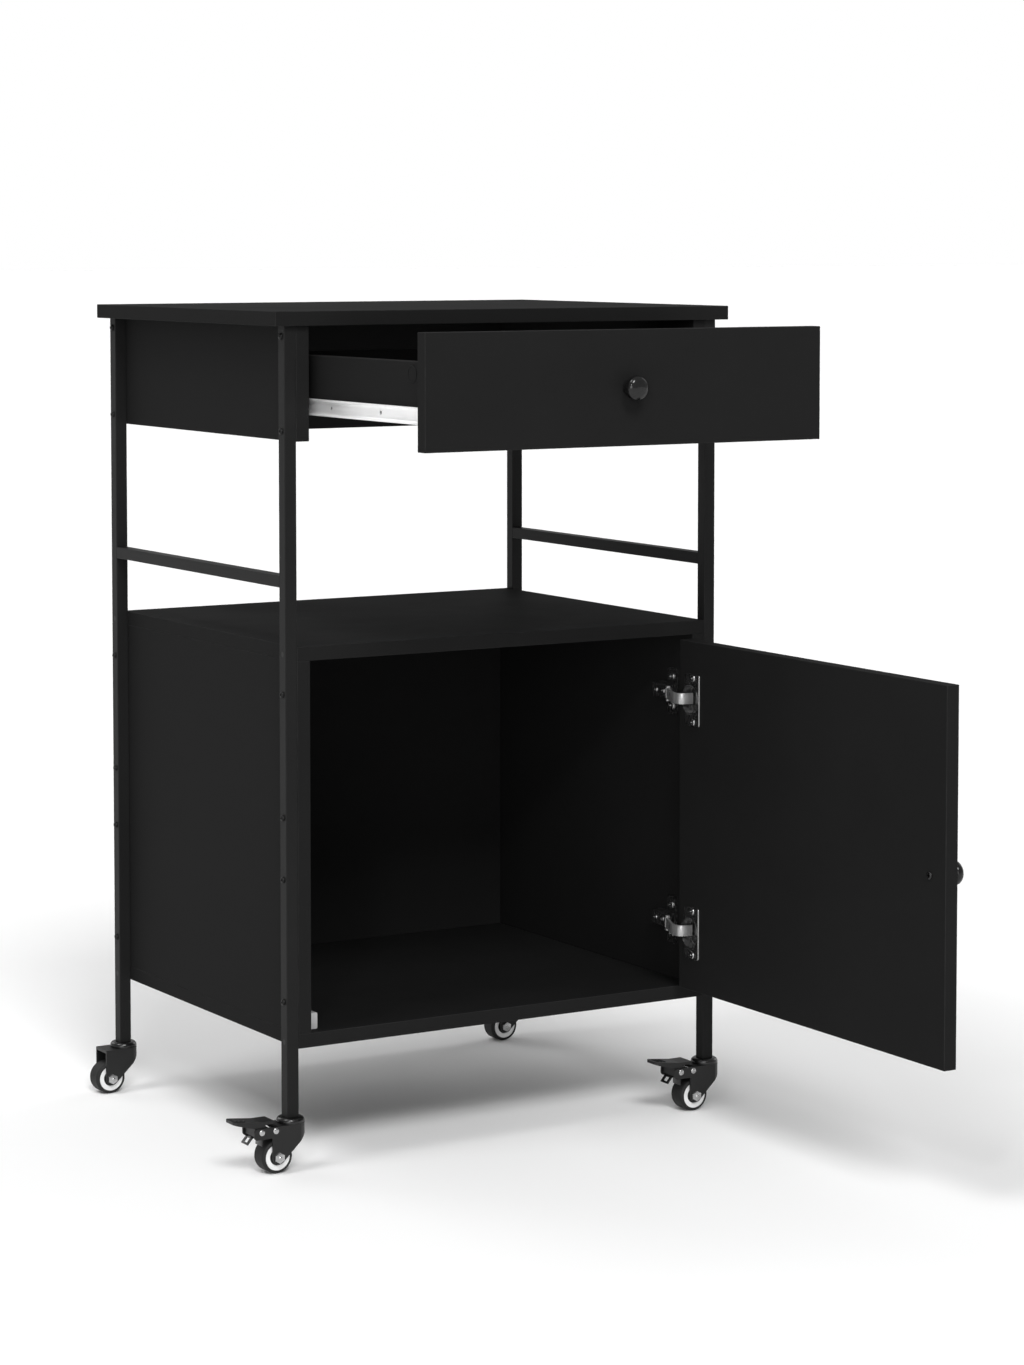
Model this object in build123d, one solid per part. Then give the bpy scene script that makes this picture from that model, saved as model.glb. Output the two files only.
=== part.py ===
from build123d import *

import math
import os

# A kitchen trolley in millimetres: four square steel posts on castors carry a worktop, a drawer,
# an open shelf and a cabinet with one door. The origin is on the floor under the middle of the
# frame, +X is to the right as seen from the front, +Y to the rear and +Z up.
# It stands as it does in use: the drawer is pulled out, the door is open and the castors trail
# to the left with both brakes off.

# Worktop, boards and posts
top_width = 555.0
top_depth = 430.0
top_height = 885.0
top_overhang_side = 13.0
top_overhang_front = 6.0
board = 15.0
board_edge = 0.8
back_board = 10.0
post_width = 13.5
post_wall = 1.2
post_corner = 0.9
post_plug_length = 22.0
rail_height = 12.5

# Levels
apron_height = 118.0
shelf_top = 542.0
rail_above_shelf = 60.5
bottom_board_level = 126.0

# Frame screws
screw_radius = 2.0
screw_fit = 0.05
screw_head_radius = 3.4
screw_head_height = 2.4
screw_head_dome = 1.9
screw_key_radius = 1.3
screw_key_depth = 1.2
screw_grip_panel = 11.0
screw_grip_shelf = 26.0
sunk_head_radius = 2.8
sunk_head_height = 0.6
sunk_head_drop = 0.1
apron_screw_inset = 10.7
side_screw_inset = 34.0
side_screw_spacing = 64.0

# Drawer
drawer_out = 235.0
drawer_gap_side = 1.5
drawer_gap_top = 1.5
drawer_side_thickness = 12.0
drawer_box_height = 61.0
drawer_box_depth = 350.0
drawer_box_lift = 26.5
drawer_back_drop = 21.0
drawer_floor_thickness = 4.0
drawer_floor_lift = 8.0

# Drawer slides
slide_length = 345.0
slide_setback = 3.0
slide_space = 10.0
slide_sheet = 1.2
slide_runner_height = 17.0
slide_runner_depth = 6.5
slide_side_gap = 1.0
slide_ball = 3.4
slide_ball_gap = 0.3
slide_cage_sheet = 0.8
slide_cage_gap = 0.7
slide_cage_length = 85.0
slide_balls_per_row = 5
slide_hole_radius = 2.2
slide_hole_first = 83.0
slide_hole_pitch = 103.0
slide_hole_count = 3
slide_hole_lift = 8.5

# Knobs
knob_height = 21.0
knob_rim_level = 13.5
knob_rim_radius = 12.5
knob_rim_crown = 1.8
knob_face_radius = 8.0
knob_neck_radius = 6.5
knob_neck_level = 8.5
knob_neck_flare = 1.6
knob_foot_radius = 8.0
knob_foot_level = 3.0
knob_screw_radius = 2.0
knob_screw_grip = 10.0
knob_screw_head_radius = 4.0
knob_screw_head_height = 2.0
knob_screw_head_dome = 1.4
door_knob_inset = 25.0

# Door and its concealed hinges
door_open_angle = 90.0
door_gap = 2.5
hinge_axis_forward = 12.5
hinge_axis_out = 0.5
hinge_inset = 63.5
cup_radius = 17.5
cup_edge = 4.0
cup_depth = 11.5
cup_wall = 1.0
cup_fit = 0.05
flange_thickness = 1.2
flange_height = 60.0
flange_near = 11.0
flange_far = 36.5
flange_corner = 5.0
flange_screw_spread = 48.0
flange_screw_offset = 6.0
hinge_screw_radius = 1.75
hinge_screw_grip = 9.0
hinge_screw_head_radius = 3.8
hinge_screw_head_height = 1.6
hinge_screw_head_dome = 1.1
plate_thickness = 2.0
plate_screw_setback = 37.0
plate_screw_spread = 32.0
plate_wing_width = 19.0
plate_wing_height = 52.0
plate_wing_corner = 4.0
plate_body_height = 19.0
plate_body_rear = 64.0
arm_width = 15.0
arm_height = 8.0
arm_ear = 1.2
arm_nose_in = 18.0
arm_nose_gap = 2.5
link_thickness = 3.0
link_side_gap = 0.3
link_lift = 6.2
link_reach = 4.0
link_elbow_inset = 9.5
link_seat_gap = 0.3
pin_radius = 1.5
pin_fit = 0.05
pin_wrap = 2.0
stop_width = 15.0
stop_depth = 12.0
stop_height = 17.0
stop_edge = 1.5
stop_gap = 0.5

# Castors
castor_height = 56.0
castor_trail = 20.0
wheel_radius = 17.5
tyre_width = 22.0
tyre_edge = 3.5
tyre_seat = 0.05
hub_radius = 14.0
hub_inset = 0.8
hub_face_inset = 2.4
hub_well_radius = 8.7
axle_radius = 3.0
axle_fit = 0.05
axle_head_radius = 5.0
axle_head_height = 4.0
cheek_gap = 1.0
cheek_thickness = 1.8
cheek_eye_radius = 7.2
fork_web = 2.4
fork_head_radius = 14.8
fork_plate = 3.2
fork_slant_drop = 9.0
wheel_room = 1.6
cap_height = 5.8
cap_round = 4.2
swivel_gap = 0.4
kingpin_radius = 3.0
kingpin_fit = 0.05
kingpin_head_radius = 5.5
kingpin_head_height = 2.2
stem_radius = 4.0
stem_length = 20.0
stem_fit = 0.05

# Brake pedals of the two front castors
pedal_pin_back = 39.5
pedal_pin_drop = 10.3
pedal_pin_radius = 2.0
pedal_pin_fit = 0.05
pedal_pin_head_radius = 3.3
pedal_pin_head_height = 1.4
spring_pin_back = 23.4
bracket_reach = 9.0
bracket_drop = 7.2
bracket_corner = 4.0
pedal_side_gap = 0.6
pedal_reach = 70.0
pedal_rise = 3.5
pedal_thickness = 3.0
pedal_tip_round = 5.0
pedal_heel = 24.0
pedal_hub_front = 7.0
pedal_hub_rear = 5.0
pedal_hub_drop = 4.2
pedal_rib_radius = 0.8
pedal_rib_pitch = 4.5
pedal_rib_count = 3
shoe_thickness = 1.5
shoe_half_width = 7.0
shoe_lip_reach = 6.5
shoe_lip_drop = 7.5
shoe_pad_drop = 11.0

# Places worked out from the sizes above
frame_width = top_width - 2 * top_overhang_side
frame_depth = top_depth - 2 * top_overhang_front
front = -frame_depth / 2
rear = frame_depth / 2
post_x = frame_width / 2 - post_width / 2
post_y = frame_depth / 2 - post_width / 2
panel_out = frame_width / 2 - post_width
panel_in = panel_out - board
top_under = top_height - board
apron_bottom = top_under - apron_height
shelf_under = shelf_top - board
bottom_top = bottom_board_level + board
rail_level = shelf_top + rail_above_shelf

apron_screws = (top_under - apron_screw_inset, apron_bottom + apron_screw_inset)
side_middle = (bottom_top + shelf_under) / 2
side_screws = (
    shelf_under - side_screw_inset,
    side_middle + side_screw_spacing / 2,
    side_middle - side_screw_spacing / 2,
    bottom_top + side_screw_inset,
)
shelf_screws = (shelf_under + board / 2, bottom_board_level + board / 2)

drawer_inner = front + board
box_out = panel_in - slide_space
box_floor = apron_bottom + drawer_box_lift
slide_front = drawer_inner + slide_setback
slide_middle = box_floor + slide_runner_height / 2
ball_room = slide_ball + 2 * slide_ball_gap
ball_level = slide_runner_height / 2 + ball_room / 2
rail_half = slide_runner_height / 2 + ball_room

door_edge = panel_in - door_gap
door_low = bottom_top + door_gap
door_high = shelf_under - door_gap
door_inner = front + board
hinge_axis = Axis((panel_in + hinge_axis_out, front - hinge_axis_forward, 0), (0, 0, 1))
hinge_levels = (door_low + hinge_inset, door_high - hinge_inset)
cup_x = door_edge - cup_edge - cup_radius
link_pin_x = panel_in - arm_nose_in
link_pin_y = door_inner + arm_nose_gap + pin_radius + pin_wrap

cheek_in = tyre_width / 2 + cheek_gap
cheek_out = cheek_in + cheek_thickness
cap_under = castor_height - cap_height
fork_top = cap_under - swivel_gap
fork_ceiling = fork_top - fork_plate
pedal_pin_level = castor_height - pedal_pin_drop


# Building blocks

def block(x_span, y_span, z_span):
    """A box between two values on each axis."""
    spans = (x_span, y_span, z_span)
    size = [high - low for low, high in spans]
    middle = [(high + low) / 2 for low, high in spans]
    return Pos(*middle) * Box(*size)


def coated_board(x_span, y_span, z_span):
    """A coated board with its edges eased."""
    blank = block(x_span, y_span, z_span)
    return fillet(blank.edges(), board_edge)


def rod(start, end, radius):
    """A round bar from one point to another."""
    run = Vector(*end) - Vector(*start)
    seat = Plane(origin=start, z_dir=run)
    return seat * Cylinder(radius, run.length, align=(Align.CENTER, Align.CENTER, Align.MIN))


def upright(outline, z_span):
    """An outline drawn in plan, raised between two heights."""
    low, high = z_span
    return Pos(0, 0, low) * extrude(outline, high - low)


def side_shape(outline, y_span):
    """An outline drawn in X and Z as seen from the front, carried between two depths."""
    low, high = y_span
    return Pos(0, high, 0) * extrude(Plane.XZ * outline, high - low)


def strip(points, thickness):
    """The outline of a bent strip along straight runs, with round bends and ends."""
    outline = Sketch()
    for start, end in zip(points, points[1:]):
        run = Vector(*end) - Vector(*start)
        angle = math.degrees(math.atan2(run.Y, run.X))
        middle = (Vector(*end) + Vector(*start)) / 2
        outline += Pos(middle.X, middle.Y) * Rot(0, 0, angle) * SlotCenterToCenter(run.length, thickness)
    return outline


def group(solids):
    """Separate pieces kept together under one name."""
    return Compound(children=list(solids))


def opened(piece):
    """A piece of the door, drawn closed, swung to where the door stands."""
    return piece.rotate(hinge_axis, door_open_angle)


def pulled(piece, share=1.0):
    """A piece of the drawer, drawn closed, moved out by its share of the travel."""
    return Pos(0, -share * drawer_out, 0) * piece


# Frame

def post(side, end):
    """A square tube with a threaded block welded into its foot, drilled for the frame screws."""
    half = post_width / 2
    outline = Pos(side * post_x, end * post_y) * RectangleRounded(post_width, post_width, post_corner)
    tube = upright(outline, (castor_height, top_under))
    inner = half - post_wall
    tube -= block(
        (side * post_x - inner, side * post_x + inner),
        (end * post_y - inner, end * post_y + inner),
        (castor_height + post_plug_length, top_under),
    )
    foot = (side * post_x, end * post_y, castor_height)
    tube -= rod(foot, (foot[0], foot[1], castor_height + stem_length), stem_radius + stem_fit)
    outer = side * (post_x + half)
    inside = side * (post_x - half)
    for level in apron_screws + side_screws + shelf_screws:
        tube -= rod((outer, end * post_y, level), (inside, end * post_y, level), screw_radius + screw_fit)
    seat = outer - side * (sunk_head_drop + sunk_head_height)
    for level in shelf_screws:
        tube -= rod((outer, end * post_y, level), (seat, end * post_y, level), sunk_head_radius + screw_fit)
    return tube


def side_rail(side):
    """A rail between the two posts of one side, above the shelf."""
    outer = (frame_width / 2 - post_width, frame_width / 2)
    x_span = sorted(side * x for x in outer)
    y_span = (front + post_width, rear - post_width)
    tube = block(x_span, y_span, (rail_level, rail_level + rail_height))
    tube = fillet(tube.edges().filter_by(Axis.Y), post_corner)
    inner_x = (x_span[0] + post_wall, x_span[1] - post_wall)
    return tube - block(inner_x, y_span, (rail_level + post_wall, rail_level + rail_height - post_wall))


def panel_screw(side, end, level):
    """A domed screw through a post into the panel behind it."""
    seat = side * (post_x + post_width / 2)
    tip = side * (panel_out - screw_grip_panel)
    crown = seat + side * screw_head_height
    y = end * post_y
    head = rod((seat, y, level), (crown, y, level), screw_head_radius)
    rim = head.edges().filter_by(GeomType.CIRCLE).sort_by(Axis.X)[-1 if side > 0 else 0]
    head = fillet(rim, min(screw_head_dome, screw_head_height))
    key_plane = Plane(origin=(crown, y, level), z_dir=(-side, 0, 0))
    head -= extrude(key_plane * RegularPolygon(screw_key_radius, 6), screw_key_depth)
    return head + rod((seat, y, level), (tip, y, level), screw_radius)


def shelf_screw(side, end, level):
    """A screw sunk into a post, gripping the end of the shelf or the bottom board."""
    face = side * (post_x + post_width / 2 - sunk_head_drop)
    seat = face - side * sunk_head_height
    tip = side * (panel_out - screw_grip_shelf)
    y = end * post_y
    head = rod((seat, y, level), (face, y, level), sunk_head_radius)
    return head + rod((seat, y, level), (tip, y, level), screw_radius)


def drill_for_screws(piece, sides, levels, grip):
    """The screw holes that a board needs along its sides."""
    for side in sides:
        for end in (-1, 1):
            for level in levels:
                start = (side * panel_out, end * post_y, level)
                tip = (side * (panel_out - grip), end * post_y, level)
                piece -= rod(start, tip, screw_radius + screw_fit)
    return piece


def corners():
    """Each corner of the frame as a name with its side and end."""
    for end_name, end in (("front", -1), ("rear", 1)):
        for side_name, side in (("left", -1), ("right", 1)):
            yield f"{end_name}_{side_name}", side, end


# Carcass boards

def tabletop():
    """The worktop."""
    half_width, half_depth = top_width / 2, top_depth / 2
    return coated_board((-half_width, half_width), (-half_depth, half_depth), (top_under, top_height))


def upper_panel(side):
    """The board beside the drawer."""
    x_span = sorted((side * panel_in, side * panel_out))
    panel = coated_board(x_span, (front, rear), (apron_bottom, top_under))
    return drill_for_screws(panel, (side,), apron_screws, screw_grip_panel)


def upper_panel_rear():
    """The board behind the drawer."""
    return coated_board((-panel_in, panel_in), (rear - board, rear), (apron_bottom, top_under))


def level_board(low):
    """The shelf or the bottom board, between the posts."""
    panel = coated_board((-panel_out, panel_out), (front, rear), (low, low + board))
    return drill_for_screws(panel, (-1, 1), (low + board / 2,), screw_grip_shelf)


def lower_panel(side):
    """A side board of the cabinet, drilled on the right for the hinge plates."""
    x_span = sorted((side * panel_in, side * panel_out))
    panel = coated_board(x_span, (front, rear), (bottom_top, shelf_under))
    panel = drill_for_screws(panel, (side,), side_screws, screw_grip_panel)
    if side > 0:
        for x, y, z in plate_screw_places():
            panel -= rod((x, y, z), (x + hinge_screw_grip, y, z), hinge_screw_radius + screw_fit)
    return panel


def cabinet_back():
    """The back board of the cabinet."""
    return coated_board((-panel_in, panel_in), (rear - back_board, rear), (bottom_top, shelf_under))


# Drawer

def knob(x, y, z):
    """A turned knob that stands out to the front from a board's face."""
    foot = (knob_foot_radius, 0)
    waist = (knob_neck_radius, knob_foot_level)
    neck = (knob_neck_radius, knob_neck_level)
    rim = (knob_rim_radius, knob_rim_level)
    face = (knob_face_radius, knob_height)
    profile = [
        Line((0, 0), foot),
        Line(foot, waist),
        Line(waist, neck),
        SagittaArc(neck, rim, knob_neck_flare),
        SagittaArc(rim, face, -knob_rim_crown),
        Line(face, (0, knob_height)),
        Line((0, knob_height), (0, 0)),
    ]
    turned = revolve(make_face(profile), Axis.Y)
    turned = Pos(x, y, z) * Rot(0, 0, 180) * turned
    return turned - rod((x, y, z), (x, y - knob_screw_grip, z), knob_screw_radius + screw_fit)


def knob_screw(x, y, z):
    """The screw that holds a knob from the back of its board."""
    inner = y + board
    head = rod((x, inner, z), (x, inner + knob_screw_head_height, z), knob_screw_head_radius)
    rim = head.edges().filter_by(GeomType.CIRCLE).sort_by(Axis.Y)[-1]
    head = fillet(rim, min(knob_screw_head_dome, knob_screw_head_height))
    return head + rod((x, inner, z), (x, y - knob_screw_grip, z), knob_screw_radius)


def knob_hole(x, y, z):
    """The hole for a knob's screw through its board."""
    return rod((x, y, z), (x, y + board, z), knob_screw_radius + screw_fit)


drawer_knob_place = (0.0, front, (apron_bottom + top_under - drawer_gap_top) / 2)


def drawer_front():
    """The board that closes the drawer, inset between the upper panels."""
    half = panel_in - drawer_gap_side
    panel = coated_board((-half, half), (front, drawer_inner), (apron_bottom, top_under - drawer_gap_top))
    return panel - knob_hole(*drawer_knob_place)


def drawer_side(side):
    """A side of the drawer box."""
    x_span = sorted((side * box_out, side * (box_out - drawer_side_thickness)))
    y_span = (drawer_inner, drawer_inner + drawer_box_depth)
    return coated_board(x_span, y_span, (box_floor, box_floor + drawer_box_height))


def drawer_back():
    """The back of the drawer box, between its sides and reaching below them."""
    half = box_out - drawer_side_thickness
    end = drawer_inner + drawer_box_depth
    y_span = (end - drawer_side_thickness, end)
    z_span = (box_floor - drawer_back_drop, box_floor + drawer_box_height)
    return coated_board((-half, half), y_span, z_span)


def drawer_bottom():
    """The floor of the drawer box."""
    half = box_out - drawer_side_thickness
    y_span = (drawer_inner, drawer_inner + drawer_box_depth - drawer_side_thickness)
    low = box_floor + drawer_floor_lift
    return block((-half, half), y_span, (low, low + drawer_floor_thickness))


def channel(web_x, mouth_x, half_height, sheet):
    """The section of a steel channel lying on its side, as an outline in X and Z about its middle."""
    side = 1 if mouth_x > web_x else -1
    depth = abs(mouth_x - web_x)
    middle = (web_x + mouth_x) / 2
    outline = Pos(middle, 0) * Rectangle(depth, 2 * half_height)
    hollow_depth = depth - sheet
    hollow = Pos(mouth_x - side * hollow_depth / 2, 0) * Rectangle(hollow_depth, 2 * (half_height - sheet))
    return outline - hollow


def slide_rail(side):
    """The fixed channel of a drawer slide, on the upper panel."""
    mouth = side * (box_out + slide_side_gap)
    section = channel(side * panel_in, mouth, rail_half + slide_sheet, slide_sheet)
    y_span = (slide_front, slide_front + slide_length)
    return Pos(0, 0, slide_middle) * side_shape(section, y_span)


def slide_runner(side):
    """The moving channel of a drawer slide, on the drawer's side, with its row of holes."""
    mouth = side * (box_out + slide_runner_depth)
    section = channel(side * box_out, mouth, slide_runner_height / 2, slide_sheet)
    y_span = (slide_front, slide_front + slide_length)
    runner = Pos(0, 0, slide_middle) * side_shape(section, y_span)
    hole_level = box_floor + slide_hole_lift
    for index in range(slide_hole_count):
        y = slide_front + slide_hole_first + index * slide_hole_pitch
        web = (side * box_out, y, hole_level)
        runner -= rod(web, (side * (box_out + slide_sheet), y, hole_level), slide_hole_radius)
    return runner


def slide_ball_cage(side):
    """The ball cage between the two channels of a drawer slide, with its balls."""
    tip = box_out + slide_runner_depth
    web_low = tip + slide_cage_gap
    web_high = web_low + slide_cage_sheet
    lane = (box_out + slide_side_gap + tip) / 2
    middle = slide_front + slide_length / 2
    y_span = (middle - slide_cage_length / 2, middle + slide_cage_length / 2)
    half = ball_level + slide_cage_sheet / 2
    cage = block(sorted((side * web_low, side * web_high)), y_span, (-half, half))
    pitch = slide_cage_length / slide_balls_per_row
    for row in (-1, 1):
        level = row * ball_level
        flange_x = sorted((side * (lane - slide_ball / 2), side * web_high))
        cage += block(flange_x, y_span, (level - slide_cage_sheet / 2, level + slide_cage_sheet / 2))
        for index in range(slide_balls_per_row):
            cage += Pos(side * lane, y_span[0] + (index + 0.5) * pitch, level) * Sphere(slide_ball / 2)
    return Pos(0, 0, slide_middle) * cage


# Door

door_knob_place = (-door_edge + door_knob_inset, front, (door_low + door_high) / 2)


def flange_screw_places():
    """Where the screws of the hinge cups enter the closed door's inner face."""
    x = cup_x - flange_screw_offset
    for level in hinge_levels:
        for half in (-flange_screw_spread / 2, flange_screw_spread / 2):
            yield x, door_inner, level + half


def plate_screw_places():
    """Where the screws of the hinge plates enter the right side board."""
    for level in hinge_levels:
        for half in (-plate_screw_spread / 2, plate_screw_spread / 2):
            yield panel_in, front + plate_screw_setback, level + half


def door_panel():
    """The door board with its cup bores and screw holes, drawn closed."""
    panel = coated_board((-door_edge, door_edge), (front, door_inner), (door_low, door_high))
    panel -= knob_hole(*door_knob_place)
    for level in hinge_levels:
        mouth = (cup_x, door_inner, level)
        panel -= rod(mouth, (cup_x, door_inner - cup_depth - cup_fit, level), cup_radius + cup_fit)
    for x, y, z in flange_screw_places():
        panel -= rod((x, y, z), (x, y - hinge_screw_grip, z), hinge_screw_radius + screw_fit)
    return panel


def hinge_cup(level):
    """A pressed hinge cup sunk in the door, with its screw flange, drawn closed."""
    near, far = door_edge - flange_near, door_edge - flange_far
    outline = Pos((near + far) / 2, level) * RectangleRounded(near - far, flange_height, flange_corner)
    y_span = (door_inner, door_inner + flange_thickness)
    cup = side_shape(outline, y_span)
    bottom = door_inner - cup_depth
    cup += rod((cup_x, bottom, level), (cup_x, door_inner + flange_thickness, level), cup_radius)
    well_radius = cup_radius - cup_wall
    cup -= rod((cup_x, bottom + cup_wall, level), (cup_x, y_span[1], level), well_radius)
    for x, y, z in flange_screw_places():
        cup -= rod((x, y, z), (x, y + flange_thickness, z), hinge_screw_radius + screw_fit)
    return cup


def hinge_cup_screw(x, y, z):
    """A screw through a cup flange into the door, drawn closed."""
    seat = y + flange_thickness
    head = rod((x, seat, z), (x, seat + hinge_screw_head_height, z), hinge_screw_head_radius)
    rim = head.edges().filter_by(GeomType.CIRCLE).sort_by(Axis.Y)[-1]
    head = fillet(rim, min(hinge_screw_head_dome, hinge_screw_head_height))
    return head + rod((x, seat, z), (x, y - hinge_screw_grip + flange_thickness, z), hinge_screw_radius)


def hinge_plate(level):
    """A winged mounting plate on the right side board."""
    middle = front + plate_screw_setback
    wing = Pos(middle, level) * RectangleRounded(plate_wing_width, plate_wing_height, plate_wing_corner)
    body_front = middle - plate_wing_width / 2
    body_rear = front + plate_body_rear
    body = Pos((body_front + body_rear) / 2, level) * Rectangle(body_rear - body_front, plate_body_height)
    plate = extrude(Plane.YZ * (wing + body), -plate_thickness)
    plate = Pos(panel_in, 0, 0) * plate
    for x, y, z in plate_screw_places():
        plate -= rod((x, y, z), (x - plate_thickness, y, z), hinge_screw_radius + screw_fit)
    return plate


def hinge_plate_screw(x, y, z):
    """A screw through a mounting plate into the side board."""
    seat = x - plate_thickness
    head = rod((seat, y, z), (seat - hinge_screw_head_height, y, z), hinge_screw_head_radius)
    rim = head.edges().filter_by(GeomType.CIRCLE).sort_by(Axis.X)[0]
    head = fillet(rim, min(hinge_screw_head_dome, hinge_screw_head_height))
    return head + rod((seat, y, z), (x + hinge_screw_grip - plate_thickness, y, z), hinge_screw_radius)


def hinge_arm(level):
    """A cranked hinge arm on its plate, with two ears that hold the link's pin."""
    seat = panel_in - plate_thickness
    tail = front + plate_body_rear
    bend = front + plate_screw_setback
    wrap = pin_radius + pin_wrap
    bed = Polyline(
        (seat, tail),
        (seat - arm_height, tail),
        (seat - arm_height, bend),
        (link_pin_x - wrap, link_pin_y),
        (link_pin_x + wrap, link_pin_y),
        (seat, bend - wrap),
        close=True,
    )
    outline = make_face(bed) + Pos(link_pin_x, link_pin_y) * Circle(wrap)
    half = arm_width / 2
    arm = upright(outline, (-half, half))
    slot = half - arm_ear
    nose = link_pin_y + wrap + link_side_gap
    arm -= block((link_pin_x - 2 * wrap, seat), (front, nose), (-slot, slot))
    pin_hole = rod((link_pin_x, link_pin_y, -half), (link_pin_x, link_pin_y, half), pin_radius + pin_fit)
    return Pos(0, 0, level) * (arm - pin_hole)


def hinge_link(level):
    """A gooseneck link with its pin, from the arm's nose into the cup, drawn with the door closed."""
    offset = Vector(link_pin_x, link_pin_y) - hinge_axis.position
    pivot = hinge_axis.position + offset.rotate(Axis.Z, -door_open_angle)
    over = door_inner + link_lift
    cup_floor = door_inner - cup_depth + cup_wall
    path = [
        (pivot.X, pivot.Y),
        (door_edge + link_reach, over),
        (door_edge - link_elbow_inset, over),
        (cup_x + cup_radius / 2, cup_floor + link_seat_gap + link_thickness / 2),
    ]
    half = arm_width / 2 - arm_ear - link_side_gap
    outline = strip(path, link_thickness) + Pos(pivot.X, pivot.Y) * Circle(pin_radius + pin_wrap)
    link = upright(outline, (-half, half))
    link += rod((pivot.X, pivot.Y, -arm_width / 2), (pivot.X, pivot.Y, arm_width / 2), pin_radius)
    return Pos(0, 0, level) * link


def door_stop():
    """A small stop in the lower left corner, behind the closed door."""
    y_low = door_inner + stop_gap
    x_span = (-panel_in, -panel_in + stop_width)
    stop = block(x_span, (y_low, y_low + stop_depth), (bottom_top, bottom_top + stop_height))
    return fillet(stop.edges().filter_by(Axis.Y).sort_by(Axis.X)[2:], stop_edge)


# Castors, drawn about their own swivel axis and trailing to the left

def castor_stem():
    """The fixed top of a castor: threaded stem, race cap, and kingpin with its riveted head."""
    stem = rod((0, 0, castor_height), (0, 0, castor_height + stem_length), stem_radius)
    cap = rod((0, 0, cap_under), (0, 0, castor_height), fork_head_radius)
    cap = fillet(cap.edges().filter_by(GeomType.CIRCLE).sort_by(Axis.Z)[-1], cap_round)
    head_top = fork_ceiling - swivel_gap
    kingpin = rod((0, 0, head_top - kingpin_head_height), (0, 0, cap_under), kingpin_radius)
    head = rod((0, 0, head_top - kingpin_head_height), (0, 0, head_top), kingpin_head_radius)
    return stem + cap + kingpin + head


def castor_fork(braked):
    """The fork, with longer cheeks where it carries a brake pedal."""
    eye = Pos(-castor_trail, wheel_radius) * Circle(cheek_eye_radius)
    slant_top = fork_top - fork_slant_drop
    rear_edge = -castor_trail - cheek_eye_radius
    head = Rectangle(fork_head_radius - rear_edge, fork_top - slant_top)
    head = Pos((rear_edge + fork_head_radius) / 2, (slant_top + fork_top) / 2) * head
    outline = make_hull(eye.edges() + head.edges())
    if braked:
        reach = -pedal_pin_back - bracket_reach
        low = pedal_pin_level - bracket_drop
        bracket = RectangleRounded(-castor_trail - reach, fork_top - low, bracket_corner)
        outline += Pos((reach - castor_trail) / 2, (low + fork_top) / 2) * bracket
    far = 2 * (pedal_pin_back + bracket_reach)
    plan = Circle(fork_head_radius) + Pos(-far / 2, 0) * Rectangle(far, 2 * cheek_out)
    fork = side_shape(outline, (-cheek_out, cheek_out)) & upright(plan, (0, castor_height))

    web_in = fork_head_radius - fork_web
    eye_front = -castor_trail + cheek_eye_radius - fork_web
    hollow = make_face(
        Polyline(
            (-far, fork_ceiling),
            (web_in, fork_ceiling),
            (web_in, slant_top),
            (eye_front, wheel_radius),
            (eye_front, -wheel_radius),
            (-far, -wheel_radius),
            close=True,
        )
    )
    hollow += Pos(-castor_trail, wheel_radius) * Circle(wheel_radius + wheel_room)
    inside = Circle(web_in) + Pos(-far / 2, 0) * Rectangle(far, 2 * cheek_in)
    fork -= side_shape(hollow, (-cheek_in, cheek_in)) & upright(inside, (-wheel_radius, castor_height))
    if braked:
        pedal_room = block((-far, -castor_trail), (-cheek_in, cheek_in), (fork_ceiling, castor_height))
        fork -= pedal_room
        for back in (pedal_pin_back, spring_pin_back):
            fork -= cross_bar(back, pedal_pin_level, cheek_out, pedal_pin_radius + pedal_pin_fit)
    fork -= cross_bar(castor_trail, wheel_radius, cheek_out, axle_radius + axle_fit)
    return fork - rod((0, 0, fork_ceiling), (0, 0, fork_top), kingpin_radius + kingpin_fit)


def cross_bar(back, level, half_length, radius):
    """A round bar across a castor, a distance behind its swivel axis."""
    return rod((-back, -half_length, level), (-back, half_length, level), radius)


def castor_pins(braked):
    """The axle bolt with its hexagon heads and, with a brake, the two riveted pins."""
    axle = cross_bar(castor_trail, wheel_radius, cheek_out, axle_radius)
    hexagon = Pos(-castor_trail, wheel_radius) * RegularPolygon(axle_head_radius, 6)
    for y_low in (-cheek_out - axle_head_height, cheek_out):
        axle += side_shape(hexagon, (y_low, y_low + axle_head_height))
    pieces = [axle]
    if braked:
        for back in (pedal_pin_back, spring_pin_back):
            pin = cross_bar(back, pedal_pin_level, cheek_out + pedal_pin_head_height, pedal_pin_radius)
            for low in (-cheek_out - pedal_pin_head_height, cheek_out):
                ends = ((-back, low, pedal_pin_level), (-back, low + pedal_pin_head_height, pedal_pin_level))
                pin += rod(*ends, pedal_pin_head_radius)
            pieces.append(pin)
    return group(pieces)


def castor_hub():
    """The wheel's core, with a raised ring on each face round a shallow well."""
    half = tyre_width / 2 - hub_inset
    hub = cross_bar(castor_trail, wheel_radius, half, hub_radius)
    for y_low in (-half, half - hub_face_inset):
        place = (-castor_trail, y_low, wheel_radius)
        hub -= rod(place, (-castor_trail, y_low + hub_face_inset, wheel_radius), hub_well_radius)
    return hub - cross_bar(castor_trail, wheel_radius, half, axle_radius + axle_fit)


def castor_tyre():
    """The rubber tyre round the wheel's core."""
    tyre = cross_bar(castor_trail, wheel_radius, tyre_width / 2, wheel_radius)
    tyre = fillet(tyre.edges().filter_by(GeomType.CIRCLE), tyre_edge)
    return tyre - cross_bar(castor_trail, wheel_radius, tyre_width / 2, hub_radius + tyre_seat)


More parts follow.
